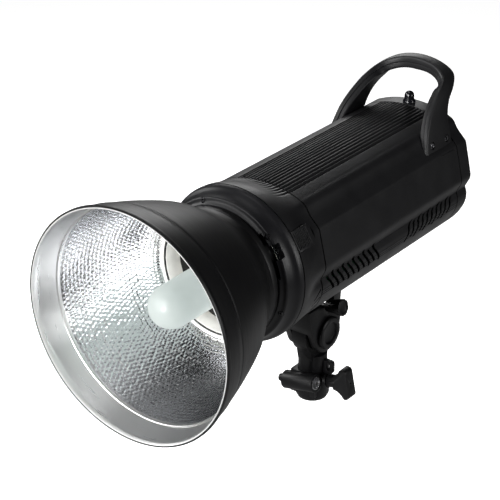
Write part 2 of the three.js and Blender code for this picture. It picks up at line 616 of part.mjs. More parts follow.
// The part of the handle between two shares of its thickness, 0 at the outer face and 1 at the inner.
function archLayer(from, to) {
  const front = archEdge(FRONT_EDGE, 431.5, 106.5);
  const rear = archEdge(REAR_EDGE, 446, 106.5);
  const rings = front.map((f, i) => {
    const r = rear[i];
    const before = Math.max(i - 1, 0);
    const after = Math.min(i + 1, ARCH_STEPS);
    const along = front[after].clone().sub(front[before]).add(rear[after].clone().sub(rear[before]));
    const inward = along.clone().cross(r.clone().sub(f)).normalize();
    const height = Math.min(i, ARCH_STEPS - i) / (ARCH_STEPS / 2);
    const thickness = 9.6 + 3 * height * height;
    const narrow = 1.2 * (to > 0.9 ? 1 : 0);
    const across = r.clone().sub(f).normalize().multiplyScalar(narrow);
    return [
      f.clone().addScaledVector(inward, thickness * from),
      r.clone().addScaledVector(inward, thickness * from),
      r.clone().addScaledVector(inward, thickness * to).sub(across),
      f.clone().addScaledVector(inward, thickness * to).add(across),
    ];
  });
  const clearOfBody = bodyPrism(GAP + 0.05, 300, 470);
  return cut(loft(rings), clearOfBody, box(-80, 80, 300, 470, 30, 40.3));
}

const handleCover = () => cut(archLayer(0, 0.46), ...handleScrewHoles(HANDLE_HEAD_HOLE));
const handleGrip = () => cut(archLayer(0.5, 1), ...handleScrewHoles(HANDLE_HEAD_HOLE));

// ---- Head: inside -----------------------------------------------------------------------------------------
function chassis() {
  const floor = box(-30, 30, 190, 410, -58, -56);
  const frontWall = box(-30, 30, 190, 192, -58, -26);
  const holes = BRACKET_SCREWS.map((y) => bar("z", -62, -50, [0, y], BRACKET_SCREW_HOLE, 12));
  return cut(join(floor, frontWall), ...holes);
}

const CAPACITOR = { z: 4, radius: 25.5, front: 214, rear: 310, terminal: 9 };

function capacitor(x) {
  const { z, radius, front, rear, terminal } = CAPACITOR;
  const can = bar("y", front, rear, [x, z], radius, 24);
  const terminals = [-terminal, terminal].map((u) => bar("y", rear - 1, rear + 4, [x + u, z], 4, 8));
  return join(can, ...terminals);
}

const circuitBoard = () => join(
  box(-50, 50, 214, 400, -38, -36.4),
  box(-22, 22, 330, 366, -36.6, -12),
  box(28, 44, 330, 360, -36.6, -20));

const FAN = { z: 18, front: 372, rear: 386, radius: 27 };

function fanFrame() {
  const { z, front, rear, radius } = FAN;
  const frame = prism("y", roundedRectangle(-30, 30, z - 30, z + 30, 4), front, rear, 2);
  const duct = bar("y", front - 1, rear - 2, [0, z], radius + 0.8, 24);
  const outlet = bar("y", rear - 3, rear + 1, [0, z], radius, 24);
  const spider = [45, 135].map((degrees) =>
    shifted(turnedY(box(-29, 29, rear - 2, rear, -1.6, 1.6), degrees), 0, 0, z));
  return join(cut(frame, duct, outlet), ...spider, bar("y", rear - 2, rear, [0, z], 8, 12));
}

const BLADES = 7;

function fanRotor() {
  const { z, front, rear, radius } = FAN;
  const hub = bar("y", front + 1, rear - 2.5, [0, 0], 9, 16);
  const blade = shifted(turnedX(box(6, radius - 0.6, -5, 5, -0.6, 0.6), 38), 0, (front + rear) / 2 - 1, 0);
  const blades = Array.from({ length: BLADES }, (_, i) => turnedY(blade, (360 / BLADES) * i));
  return shifted(join(hub, ...blades), 0, 0, z);
}

// ---- Head: tilting bracket ------------------------------------------------------------------------------
const PIVOT_Z = PIVOT_HEIGHT - AXIS_HEIGHT;
const CHEEK_IN = 10;
const CHEEK_OUT = 16.5;
const TONGUE_RADIUS = 24;
const PLATE = 3.5; // thickness of the bracket's plate under the body
const LOCK_POINT = [CHEEK_OUT, 263, -86.6]; // the lock screw's axis leaves the bracket here

// A solid made about the origin, leaning so that its +X end rises, and then put at a point.
const leaned = (made, degrees, point) => shifted(turnedY(made, -degrees), ...point);

// A group that does the same for whole pieces.
function leaningGroup(parent, point, degrees) {
  const group = new THREE.Group();
  group.position.set(...point);
  group.rotation.y = radians(-degrees);
  parent.add(group);
  return group;
}

function tiltBracket() {
  const cheek = new THREE.Shape();
  cheek.moveTo(235, -84);
  cheek.lineTo(252, -84);
  cheek.quadraticCurveTo(272, -88, 288, -104);
  cheek.lineTo(284, -125);
  cheek.absarc(COLUMN_Y, PIVOT_Z, 20.2, (-25 * Math.PI) / 180, (-155 * Math.PI) / 180, true);
  cheek.lineTo(238, -102);
  const block = prism("x", cheek, -CHEEK_OUT, CHEEK_OUT);
  const clearance = join(
    bar("x", -CHEEK_IN, CHEEK_IN, [COLUMN_Y, PIVOT_Z], TONGUE_RADIUS + 0.6, 28),
    box(-CHEEK_IN, CHEEK_IN, 220, 300, -160, PIVOT_Z));
  const necks = join(
    box(-14, 14, 236, 248, -90, -66.5),
    prism("x", polygon([[279, -66.5], [292, -66.5], [290, -98], [279, -93]]), -14, 14));
  const plateTop = BODY_BOTTOM_Z - GAP;
  const plate = prism("z", roundedRectangle(-16, 16, 222, 306, 6), plateTop - PLATE, plateTop, 4);
  const bore = bar("x", -30, 30, [COLUMN_Y, PIVOT_Z], PIVOT_BORE, 20);
  const lockBore = leaned(bar("x", -14, 14, [0, 0], 2.9, 12), CROSS_TILT, LOCK_POINT);
  const screwHoles = BRACKET_SCREWS.map((y) => bar("z", -80, -60, [0, y], BRACKET_SCREW_HOLE, 12));
  return cut(join(cut(block, clearance), necks, plate), bore, lockBore, ...screwHoles);
}

const bracketScrew = (y) => screw("z", -50, BODY_BOTTOM_Z - 2 * GAP - PLATE, -73.6, [0, y], 5, 2.5);

function pivotBolt() {
  const shank = bar("x", -21, CHEEK_OUT + 0.8, [COLUMN_Y, PIVOT_Z], 4, 20);
  return join(shank, bar("x", -21, -CHEEK_OUT - GAP, [COLUMN_Y, PIVOT_Z], 8, 6));
}

// Dished cover over the bolt's end: a raised ring round a sunken disc.
function pivotCap() {
  const face = CHEEK_OUT + GAP;
  const profile = [
    [0, face + 1.1], [10.2, face + 1.1], [11.2, face + 3.6], [15.1, face + 3.6], [16.4, face + 2.4],
    [16.4, face], [5, face], [5, face + 0.6], [0, face + 0.6],
  ].map(([radius, x]) => new THREE.Vector2(radius, x));
  const geometry = new THREE.LatheGeometry(profile, 24).rotateZ(-Math.PI / 2);
  return solid(geometry.translate(0, COLUMN_Y, PIVOT_Z));
}

// Tapered, fluted grip that screws into the bracket's web and stops the tilt, along +X from the web.
function tiltLockKnob() {
  const endRadius = 8.3;
  const shaft = bar("x", -12, 4, [0, 0], 2.5, 12);
  const grip = bar("x", 1.2, 19.5, [0, 0], 5.4, 24, endRadius);
  const flutes = Array.from({ length: 8 }, (_, i) => {
    const angle = (Math.PI * i) / 4;
    const offset = endRadius + 1;
    return bar("x", 9, 21, [offset * Math.cos(angle), offset * Math.sin(angle)], 1.6, 8);
  });
  const dish = bar("x", 18.5, 21, [0, 0], 5.8, 20);
  return cut(join(shaft, grip), ...flutes, dish);
}

// ---- Stand adapter --------------------------------------------------------------------------------------
const CROSS_POINT = [0, -16, 21]; // the cross tube passes in front of the stud socket
const LINER_BORE = 6.6; // radius of the hole for the cross tube's liner
const CLAMP_POINT = [0, 0, 17.5];
const CLAMP_BOSS_RADIUS = 7.4;
const CLAMP_BORE = 4.4;
const TONGUE_HALF_WIDTH = 8.2; // the tongue turns between the bracket's cheeks
const COLLAR_SHAPE = { radius: 16.5, top: 27 };
const COLUMN_RADIUS = 14;

function standAdapter() {
  const tongue = new THREE.Shape();
  tongue.moveTo(-13, 44);
  tongue.lineTo(13, 44);
  tongue.absarc(0, PIVOT_HEIGHT, TONGUE_RADIUS, radians(-50), radians(230));
  const { radius, top } = COLLAR_SHAPE;
  const body = join(
    bar("z", 0, 4, [0, 0], radius - 2, 24, radius), bar("z", 4, top, [0, 0], radius, 24),
    bar("z", top - 0.1, 48, [0, 0], COLUMN_RADIUS, 24),
    prism("x", tongue, -TONGUE_HALF_WIDTH, TONGUE_HALF_WIDTH, 10));
  const clampBoss = leaned(bar("x", 8, 20, [0, 0], CLAMP_BOSS_RADIUS, 20), CROSS_TILT, CLAMP_POINT);
  const stud = bar("z", -1, 40, [0, 0], STUD_RADIUS, 24);
  const linerBore = leaned(bar("x", -30, 30, [0, 0], LINER_BORE, 20), CROSS_TILT, CROSS_POINT);
  const clampHole = leaned(bar("x", 4, 30, [0, 0], CLAMP_BORE, 16), CROSS_TILT, CLAMP_POINT);
  const bore = bar("x", -30, 30, [0, PIVOT_HEIGHT], PIVOT_BORE, 16);
  return cut(join(body, clampBoss), stud, linerBore, clampHole, bore);
}

// What the boss and the lug leave free for the collar and the column that they sit against.
function adapterClearance() {
  const { radius, top } = COLLAR_SHAPE;
  return join(
    bar("z", -5, top + GAP, [0, 0], radius + GAP, 24),
    bar("z", top, 60, [0, 0], COLUMN_RADIUS + GAP, 24),
    leaned(bar("x", 0, 30, [0, 0], CLAMP_BOSS_RADIUS + GAP, 20), CROSS_TILT, CLAMP_POINT));
}

function crossTubeBoss() {
  const tube = leaned(bar("x", -20, 16, [0, 0], 9, 24), CROSS_TILT, CROSS_POINT);
  const bridge = box(-15, 13, -15, -2, 6, 30);
  const linerBore = leaned(bar("x", -30, 30, [0, 0], LINER_BORE, 20), CROSS_TILT, CROSS_POINT);
  return cut(join(tube, bridge), linerBore, adapterClearance());
}

function accessoryLug() {
  const plate = prism("y", roundedRectangle(10, 24, 29.8, 43.5, 3), -2.4, 2.4, 2);
  const slot = prism("y", roundedRectangle(17.8, 21, 33.2, 41, 1.5), -5, 5, 2);
  return cut(plate, slot, adapterClearance());
}

// These are made about their own axis, along +X.
const crossTubeLiner = () =>
  cut(bar("x", -14, 15.6, [0, 0], LINER_BORE - GAP, 20), bar("x", -13, 20, [0, 0], 5.4, 16));

const crossTubeScrew = () =>
  join(bar("x", -20.4, -14.4, [0, 0], 6.2, 20), bar("x", -27, -20.3, [0, 1], 3.8, 12));

// Threaded shaft with a two-winged grip: the wings spread as they leave the neck.
function standClampKnob() {
  const shaft = bar("x", 11.4, 22, [0, 0], 4, 20);
  const neck = bar("x", 20.4, 30, [0, 0], 6.4, 24);
  const wing = new THREE.Shape();
  wing.moveTo(27.5, -6);
  wing.lineTo(27.5, 6);
  wing.quadraticCurveTo(34.5, 7.5, 37.5, 13.6);
  wing.quadraticCurveTo(38.6, 16, 41, 15.4);
  wing.lineTo(43.5, 14.4);
  wing.quadraticCurveTo(45, 13.6, 45, 11.6);
  wing.lineTo(45, -11.6);
  wing.quadraticCurveTo(45, -13.6, 43.5, -14.4);
  wing.lineTo(41, -15.4);
  wing.quadraticCurveTo(38.6, -16, 37.5, -13.6);
  wing.quadraticCurveTo(34.5, -7.5, 27.5, -6);
  const wings = prism("y", wing, -6, 6, 5);
  const pinhole = bar("x", 42, 50, [0, 0], 1.2, 8);
  return cut(join(shaft, neck, wings), pinhole);
}

const standClampPad = () => bar("x", 8.6, 11.1, [0, 0], 3.6, 16);

function frictionWasher(side) {
  const inner = TONGUE_HALF_WIDTH + GAP;
  const outer = CHEEK_IN - GAP;
  const ends = side > 0 ? [inner, outer] : [-outer, -inner];
  const disc = bar("x", ends[0], ends[1], [0, PIVOT_HEIGHT], 18, 20);
  return cut(disc, bar("x", -20, 20, [0, PIVOT_HEIGHT], PIVOT_BORE, 12));
}

// ---- Assembly -------------------------------------------------------------------------------------------
const stand = new THREE.Group();
part(stand, "stand_adapter", standAdapter(), CASTING);
part(stand, "cross_tube_boss", crossTubeBoss(), CASTING);
part(stand, "accessory_lug", accessoryLug(), CASTING);
const crossAxis = leaningGroup(stand, CROSS_POINT, CROSS_TILT);
part(crossAxis, "cross_tube_liner", crossTubeLiner(), SILVER);
part(crossAxis, "cross_tube_screw", crossTubeScrew(), CASTING);
const clampAxis = leaningGroup(stand, CLAMP_POINT, CROSS_TILT);
part(clampAxis, "stand_clamp_knob", standClampKnob(), CHARCOAL_DARK);
part(clampAxis, "stand_clamp_pad", standClampPad(), STEEL);
part(stand, "friction_washer_near", frictionWasher(1), SOFT_BLACK);
part(stand, "friction_washer_far", frictionWasher(-1), SOFT_BLACK);

const head = new THREE.Group();
head.position.set(0, -COLUMN_Y, AXIS_HEIGHT);
part(head, "reflector_bowl", reflectorBowl(), SATIN_BLACK);
part(head, "reflector_collar", reflectorCollar(), SILVER);
part(head, "mount_ring", mountRing(), CHARCOAL_DARK);
SCREW_ANGLES.forEach((angle, i) => part(head, `mount_screw_${i + 1}`, mountScrew(angle), STEEL));
part(head, "front_housing", frontHousing(), CHARCOAL);
part(head, "release_slider", releaseSlider(), CHARCOAL);
part(head, "locking_pin", lockingPin(), STEEL);
part(head, "front_bulkhead", frontBulkhead(), STEEL);
part(head, "flash_tube_base", flashTubeBase(), CERAMIC);
part(head, "flash_tube", FLASH.tube, CLEAR_GLASS);
part(head, "lamp_socket", lampSocket(), CERAMIC);
part(head, "modelling_lamp", modellingLamp(), FROSTED);
part(head, "lamp_cap", lampCap(), SILVER);
part(head, "top_shell", topShell(), CHARCOAL);
part(head, "bottom_shell", bottomShell(), CHARCOAL);
part(head, "rear_cover", rearCover(), CHARCOAL);
part(head, "control_panel", controlPanel(), SOFT_BLACK);
part(head, "display_window", displayWindow(), GLOSS_BLACK);
part(head, "control_dial", controlDial(), SOFT_BLACK);
BUTTON_NAMES.forEach((name, i) => part(head, name, pushButton(BUTTON_XS[i]), CHARCOAL));
part(head, "power_rocker", powerRocker(), GLOSS_BLACK);
part(head, "power_inlet", powerInlet(), SOFT_BLACK);
part(head, "fuse_cap", fuseCap(), SOFT_BLACK);
part(head, "sync_jack", syncJack(), STEEL);
part(head, "slave_sensor", slaveSensor(), GLOSS_BLACK);
part(head, "handle_cover", handleCover(), CHARCOAL);
part(head, "handle_grip", handleGrip(), CHARCOAL_DARK);
[1, -1].forEach((side) => HANDLE_SCREW_YS.forEach((y, i) => {
  const made = screw("x", 44 * side, 52.2 * side, 54.6 * side, [y, HANDLE_SCREW_Z], 3.2, 1.7);
  part(head, `handle_screw_${side > 0 ? "near" : "far"}_${i + 1}`, made, STEEL);
}));
part(head, "chassis", chassis(), STEEL);
part(head, "capacitor_near", capacitor(27), CAN_BLUE);
part(head, "capacitor_far", capacitor(-27), CAN_BLUE);
part(head, "circuit_board", circuitBoard(), BOARD_GREEN);
part(head, "fan_frame", fanFrame(), SOFT_BLACK);
part(head, "fan_rotor", fanRotor(), SOFT_BLACK);
part(head, "tilt_bracket", tiltBracket(), CASTING);
BRACKET_SCREWS.forEach((y, i) => part(head, `bracket_screw_${i + 1}`, bracketScrew(y), STEEL));
part(head, "pivot_bolt", pivotBolt(), STEEL);
part(head, "pivot_cap", pivotCap(), CASTING);
part(leaningGroup(head, LOCK_POINT, CROSS_TILT), "tilt_lock_knob", tiltLockKnob(), SOFT_BLACK);

const monolight = new THREE.Group();
monolight.add(stand, head);

export default monolight;
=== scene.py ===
"""Looks of a monolight studio strobe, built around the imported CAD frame.

Metres, +Z up, light thrown along -Y.
"""

import json
import math

import bmesh
import bpy
import numpy as np
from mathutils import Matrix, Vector


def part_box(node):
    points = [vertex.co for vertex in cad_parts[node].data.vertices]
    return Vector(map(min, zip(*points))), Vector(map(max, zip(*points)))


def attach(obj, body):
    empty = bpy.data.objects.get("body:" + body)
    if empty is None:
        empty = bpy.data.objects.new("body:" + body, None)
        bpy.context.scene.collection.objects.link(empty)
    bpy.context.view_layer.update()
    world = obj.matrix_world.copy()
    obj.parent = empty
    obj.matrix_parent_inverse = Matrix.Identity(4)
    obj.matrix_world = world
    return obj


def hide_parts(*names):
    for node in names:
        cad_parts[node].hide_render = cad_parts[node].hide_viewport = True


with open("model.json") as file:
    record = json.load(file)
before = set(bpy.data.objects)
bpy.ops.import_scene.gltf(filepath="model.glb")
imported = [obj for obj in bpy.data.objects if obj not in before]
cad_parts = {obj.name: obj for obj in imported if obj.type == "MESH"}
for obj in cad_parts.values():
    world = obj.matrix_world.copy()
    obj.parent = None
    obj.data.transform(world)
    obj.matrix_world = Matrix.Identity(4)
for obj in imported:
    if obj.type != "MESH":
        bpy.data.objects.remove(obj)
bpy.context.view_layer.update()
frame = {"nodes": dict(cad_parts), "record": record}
nodes = frame["nodes"]

# ---- The head's own frame ------------------------------------------------------------------------------
# Head sizes are in millimetres from the centre of the reflector's rim plane, y back along the light axis.
MM = 0.001
bowl_low, bowl_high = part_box("reflector_bowl")
RIM_Y = bowl_low.y
AXIS_Z = (bowl_low.z + bowl_high.z) / 2
NECK_Y = (bowl_high.y - bowl_low.y) / MM


def head_y(node, end):
    """Where a node starts (end 0) or stops (end 1) along the light axis."""
    return (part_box(node)[end].y - RIM_Y) / MM


def head(x, y, z):
    return Vector((x * MM, RIM_Y + y * MM, AXIS_Z + z * MM))


BODY_FRONT = head_y("top_shell", 0)
BODY_REAR = head_y("top_shell", 1)
REAR = head_y("control_panel", 1)
GAP = 0.3  # between neighbouring pieces

# ---- Camera --------------------------------------------------------------------------------------------
CAMERA_AT = Vector((0.7534, -1.0950, 0.8168))
AZIMUTH = math.radians(37.13)
ELEVATION = math.radians(26.48)
LENS = 115

camera_data = bpy.data.cameras.new("camera")
camera_data.lens = LENS
camera_data.sensor_width = 36
camera = bpy.data.objects.new("camera", camera_data)
camera.location = CAMERA_AT
camera.rotation_euler = (math.pi / 2 - ELEVATION, 0, AZIMUTH)
bpy.context.scene.collection.objects.link(camera)
bpy.context.scene.camera = camera
bpy.context.scene.view_settings.view_transform = "Standard"


# ---- Materials -----------------------------------------------------------------------------------------
class Shader:
    """A Principled material whose nodes are added by short calls."""

    def __init__(self, name, colour, roughness, metallic=0.0, **sockets):
        self.material = bpy.data.materials.new(name)
        self.material.use_nodes = True
        self.tree = self.material.node_tree
        self.base = self.tree.nodes["Principled BSDF"]
        self.base.inputs["Base Color"].default_value = (*colour, 1)
        self.base.inputs["Roughness"].default_value = roughness
        self.base.inputs["Metallic"].default_value = metallic
        for socket, value in sockets.items():
            self.base.inputs[socket.replace("_", " ")].default_value = value
        self.colour = colour
        self.roughness = roughness
        self.height = None

    def node(self, kind, **inputs):
        made = self.tree.nodes.new(kind)
        for name, value in inputs.items():
            made.inputs[name.replace("_", " ")].default_value = value
        return made

    def link(self, source, target):
        self.tree.links.new(source, target)

    def coordinates(self, stretch):
        place = self.node("ShaderNodeTexCoord")
        mapping = self.node("ShaderNodeMapping")
        mapping.inputs["Scale"].default_value = stretch
        self.link(place.outputs["Object"], mapping.inputs["Vector"])
        return mapping.outputs["Vector"]

    def noise(self, scale, detail, stretch=(1, 1, 1)):
        made = self.node("ShaderNodeTexNoise", Scale=scale, Detail=detail)
        self.link(self.coordinates(stretch), made.inputs["Vector"])
        return made.outputs["Fac"]

    def spread(self, factor, low, high):
        """Maps the middle of a noise's range to low and high."""
        made = self.node("ShaderNodeMapRange")
        made.inputs["From Min"].default_value = 0.3
        made.inputs["From Max"].default_value = 0.7
        made.inputs["To Min"].default_value = low
        made.inputs["To Max"].default_value = high
        self.link(factor, made.inputs["Value"])
        return made.outputs["Result"]

    def mottle(self, scale, amount):
        """Lighter and darker patches of the base colour."""
        mix = self.node("ShaderNodeMix")
        mix.data_type = "RGBA"
        dark = tuple(c * (1 - amount) for c in self.colour)
        light = tuple(min(1, c * (1 + amount)) for c in self.colour)
        mix.inputs["A"].default_value = (*dark, 1)
        mix.inputs["B"].default_value = (*light, 1)
        self.link(self.spread(self.noise(scale, 4.0), 0, 1), mix.inputs["Factor"])
        self.link(mix.outputs["Result"], self.base.inputs["Base Color"])
        return self

    def uneven_gloss(self, scale, amount, stretch=(1, 1, 1)):
        """Patches that are a little more or less glossy."""
        value = self.spread(self.noise(scale, 3, stretch), self.roughness - amount, self.roughness + amount)
        self.link(value, self.base.inputs["Roughness"])
        return self

    def bump(self, factor, strength, depth):
        """Adds relief on top of the relief that is already there."""
        made = self.node("ShaderNodeBump", Strength=strength, Distance=depth)
        self.link(factor, made.inputs["Height"])
        if self.height:
            self.link(self.height, made.inputs["Normal"])
        self.height = made.outputs["Normal"]
        self.link(self.height, self.base.inputs["Normal"])
        return self


def moulded_plastic(name, colour, roughness, grain=1900):
    """Spark-eroded mould texture: fine grain over broad, faint mottling."""
    made = Shader(name, colour, roughness, 0.0, Specular_IOR_Level=0.3)
    made.mottle(60, 0.12).uneven_gloss(35, 0.05)
    made.bump(made.noise(grain, 2), 0.28, 0.00012)
    made.bump(made.noise(grain / 4, 3), 0.12, 0.0002)
    return made.material


def plated_metal(name, colour, roughness):
    made = Shader(name, colour, roughness, 1.0)
    made.mottle(90, 0.06).uneven_gloss(240, 0.08)
    made.bump(made.noise(700, 4), 0.08, 0.0001)
    return made.material


def painted_casting(name, colour, roughness):
    """Paint over a die casting: orange peel and a slight grain."""
    made = Shader(name, colour, roughness, 0.0, Specular_IOR_Level=0.22, Coat_Weight=0.04,
                  Coat_Roughness=0.35)
    made.mottle(45, 0.15).uneven_gloss(60, 0.06)
    made.bump(made.noise(420, 3), 0.18, 0.0003)
    made.bump(made.noise(1500, 2), 0.12, 0.0001)
    return made.material


def spun_paint(name, colour, roughness):
    """Satin lacquer on spun sheet: faint turning lines round the light axis."""
    made = Shader(name, colour, roughness, 0.0, Specular_IOR_Level=0.26, Coat_Weight=0.12,
                  Coat_Roughness=0.4)
    made.mottle(30, 0.08).uneven_gloss(80, 0.04, (0.3, 6, 0.3))
    made.bump(made.noise(220, 3, (0.1, 8, 0.1)), 0.05, 0.0002)
    made.bump(made.noise(1600, 2), 0.05, 0.00008)
    return made.material


def satin_aluminium(name, colour, roughness, metallic=1.0):
    """Bare spun sheet: an even satin with very fine turning lines round the light axis."""
    made = Shader(name, colour, roughness, metallic)
    made.mottle(25, 0.02).uneven_gloss(60, 0.02, (0.3, 6, 0.3))
    made.bump(made.noise(500, 2, (0.1, 9, 0.1)), 0.03, 0.0001)
    return made.material


def hammered_silver(name):
    made = Shader(name, (0.82, 0.83, 0.845), 0.13, 1.0)
    made.mottle(120, 0.03).uneven_gloss(300, 0.05)
    made.bump(made.noise(900, 3), 0.08, 0.0001)
    return made.material


def frosted_glass(name):
    # The faint emission is a painted glow: it lightens the modelling lamp's glass, though the lamp is not
    # lit.
    made = Shader(name, (0.34, 0.365, 0.355), 0.5, 0.0, Coat_Weight=0.3, Coat_Roughness=0.18,
                  Subsurface_Weight=0.8, Subsurface_Scale=0.02, Subsurface_Radius=(1, 1, 1),
                  Emission_Strength=0.19, Emission_Color=(0.86, 1.0, 0.96, 1))
    made.mottle(40, 0.03).uneven_gloss(120, 0.05)
    made.bump(made.noise(1500, 2), 0.08, 0.00008)
    return made.material


def clear_glass(name):
    made = Shader(name, (0.9, 0.91, 0.9), 0.12, 0.0, Transmission_Weight=0.3, IOR=1.47)
    made.mottle(60, 0.02).uneven_gloss(200, 0.02)
    made.bump(made.noise(260, 2), 0.03, 0.0001)
    return made.material


def ceramic(name):
    made = Shader(name, (0.88, 0.85, 0.78), 0.62)
    made.mottle(150, 0.08).uneven_gloss(90, 0.08)
    made.bump(made.noise(1100, 4), 0.25, 0.00015)
    return made.material


def gloss_plastic(name, colour, roughness=0.09):
    made = Shader(name, colour, roughness, 0.0, Coat_Weight=0.4, Coat_Roughness=0.04)
    made.mottle(50, 0.1).uneven_gloss(40, 0.03)
    made.bump(made.noise(180, 2), 0.03, 0.0002)
    return made.material


LOOKS = {
    "body_plastic": moulded_plastic("body_plastic", (0.0085, 0.0085, 0.0093), 0.46),
    "grip_plastic": moulded_plastic("grip_plastic", (0.006, 0.006, 0.0068), 0.5, 1400),
    "mount_plastic": moulded_plastic("mount_plastic", (0.008, 0.008, 0.0095), 0.4, 2300),
    "panel_plastic": moulded_plastic("panel_plastic", (0.01, 0.01, 0.011), 0.5),
    "knob_plastic": moulded_plastic("knob_plastic", (0.004, 0.004, 0.0045), 0.42, 1200),
    "gloss_black": gloss_plastic("gloss_black", (0.006, 0.006, 0.008)),
    "bracket_casting": painted_casting("bracket_casting", (0.0035, 0.0035, 0.004), 0.42),
    "reflector_outside": spun_paint("reflector_outside", (0.004, 0.004, 0.0045), 0.46),
    "reflector_aluminium": hammered_silver("reflector_aluminium"),
    "reflector_band": satin_aluminium("reflector_band", (0.90, 0.90, 0.89), 0.29),
    "rolled_rim": satin_aluminium("rolled_rim", (0.93, 0.93, 0.92), 0.3, 0.45),
    # Painted reflection: this pale colour inside the bowl's neck and the collar stands in for the bright
    # look of their bare metal.
    "neck_painted_reflection": moulded_plastic("neck_painted_reflection", (0.80, 0.79, 0.755), 0.4),
    "bright_steel": plated_metal("bright_steel", (0.66, 0.66, 0.67), 0.24),
    "dark_steel": plated_metal("dark_steel", (0.16, 0.16, 0.17), 0.32),
    "friction_fibre": moulded_plastic("friction_fibre", (0.09, 0.06, 0.035), 0.8),
    "ceramic_white": ceramic("ceramic_white"),
    "frosted_glass": frosted_glass("frosted_glass"),
    "clear_glass": clear_glass("clear_glass"),
    "capacitor_can": gloss_plastic("capacitor_can", (0.03, 0.05, 0.12), 0.3),
    "board_laminate": gloss_plastic("board_laminate", (0.02, 0.15, 0.06), 0.35),
    "trigger_wire": plated_metal("trigger_wire", (0.5, 0.36, 0.22), 0.3),
}


# ---- Mesh helpers --------------------------------------------------------------------------------------
SMOOTH_ANGLE = math.radians(38)
BEVEL_ANGLE = math.radians(35)
BEVEL_SEGMENTS = 2
FLAT_ANGLE = math.radians(0.8)  # faces that meet at less than this become one


def mesh_object(name, verts, faces):
    mesh = bpy.data.meshes.new(name)
    mesh.from_pydata(verts, [], faces)
    tool = bmesh.new()
    tool.from_mesh(mesh)
    bmesh.ops.recalc_face_normals(tool, faces=tool.faces)
    tool.to_mesh(mesh)
    tool.free()
    made = bpy.data.objects.new(name, mesh)
    bpy.context.scene.collection.objects.link(made)
    return made


def smooth(piece, angle=SMOOTH_ANGLE):
    for polygon in piece.data.polygons:
        polygon.use_smooth = True
    piece.data.set_sharp_from_angle(angle=angle)
    return piece


def applied(piece):
    """Applies every modifier of the piece to its mesh."""
    graph = bpy.context.evaluated_depsgraph_get()
    mesh = bpy.data.meshes.new_from_object(piece.evaluated_get(graph))
    piece.modifiers.clear()
    piece.data = mesh
    return piece


def bevelled(piece, width):
    bevel = piece.modifiers.new("bevel", "BEVEL")
    bevel.width = width * MM
    bevel.segments = BEVEL_SEGMENTS
    bevel.limit_method = "ANGLE"
    bevel.angle_limit = BEVEL_ANGLE
    bevel.harden_normals = False
    bevel.use_clamp_overlap = True
    return applied(piece)


def split_wide_faces(piece):
    """Triangulates many-sided faces, because a cut would leave them wrapped round its opening."""
    tool = bmesh.new()
    tool.from_mesh(piece.data)
    bmesh.ops.triangulate(tool, faces=[face for face in tool.faces if len(face.verts) > 4])
    tool.to_mesh(piece.data)
    tool.free()
    return piece


def cut(piece, *cutters):
    """Takes the cutters' solids out of the piece."""
    split_wide_faces(piece)
    for cutter in cutters:
        boolean = piece.modifiers.new("cut", "BOOLEAN")
        boolean.operation = "DIFFERENCE"
        boolean.solver = "MANIFOLD"
        boolean.object = cutter
        split_wide_faces(applied(piece))
        bpy.data.objects.remove(cutter)
    return piece


def joined(name, pieces):
    """One object of several meshes, which stay separate shells."""
    whole = bmesh.new()
    for piece in pieces:
        whole.from_mesh(piece.data)
        bpy.data.objects.remove(piece)
    mesh = bpy.data.meshes.new(name)
    whole.to_mesh(mesh)
    whole.free()
    made = bpy.data.objects.new(name, mesh)
    bpy.context.scene.collection.objects.link(made)
    return made


def ring_faces(count, rings, closed_along=False):
    faces = []
    for ring in range(rings if closed_along else rings - 1):
        after = (ring + 1) % rings
        for i in range(count):
            j = (i + 1) % count
            faces.append((ring * count + i, ring * count + j, after * count + j, after * count + i))
    return faces


def loft(name, rings):
    """Skins rings of equal length and caps both ends."""
    count = len(rings[0])
    verts = [point for ring in rings for point in ring]
    faces = ring_faces(count, len(rings))
    faces.append(tuple(range(count)))
    faces.append(tuple((len(rings) - 1) * count + i for i in range(count)))
    return mesh_object(name, verts, faces)


def tube_ring(name, rings):
    """Skins rings of equal length whose last joins the first."""
    verts = [point for ring in rings for point in ring]
    return mesh_object(name, verts, ring_faces(len(rings[0]), len(rings), True))


def turned(name, profile, steps, centre=(0, 0), closed=True):
    """Turns [radius, y] points of the head's frame about the light axis, or about a line parallel to it."""
    rings = []
    for radius, y in profile:
        angles = [2 * math.pi * i / steps for i in range(steps)]
        rings.append([
            head(centre[0] + radius * math.cos(a), y, centre[1] + radius * math.sin(a)) for a in angles
        ])
    return tube_ring(name, rings) if closed else loft(name, rings)


def prism(name, shape, low, high, place):
    """A flat shape swept from low to high; place turns (u, v, w) into a point."""
    return loft(name, [[place(u, v, w) for u, v in shape] for w in (low, high)])


def radial(angle):
    """A place for prisms that sit on the round front: u tangential, v along y, w outwards at an angle."""
    turn = math.radians(angle)
    out = Vector((math.cos(turn), 0, math.sin(turn)))
    side = Vector((-math.sin(turn), 0, math.cos(turn)))
    return lambda u, v, w: head(*(out * w + side * u + Vector((0, v, 0))))


CORNER_STEPS = 4


def rectangle(u0, u1, v0, v1, radius):
    if not radius:
        return [(u0, v0), (u1, v0), (u1, v1), (u0, v1)]
    points = []
    for cu, cv, start in ((u1, v1, 0), (u0, v1, 90), (u0, v0, 180), (u1, v0, 270)):
        mu = cu - radius if cu == u1 else cu + radius
        mv = cv - radius if cv == v1 else cv + radius
        for i in range(CORNER_STEPS + 1):
            angle = math.radians(start + 90 * i / CORNER_STEPS)
            points.append((mu + radius * math.cos(angle), mv + radius * math.sin(angle)))
    return points


def dress(piece, body, slot, *replaced, looks=None):
    """Gives a piece its body, its materials and the CAD nodes that it stands for."""
    piece.data.materials.clear()
    for look in looks or [slot]:
        piece.data.materials.append(LOOKS[look])
    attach(piece, body)
    if replaced:
        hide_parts(*replaced)
    return piece


body_of_node = {
    node: body for body, members in frame["record"]["behaviour"]["bodies"].items() for node in members
}
slot_of_node = {entry["node"]: entry["material_slot"] for entry in frame["record"]["subparts"]}


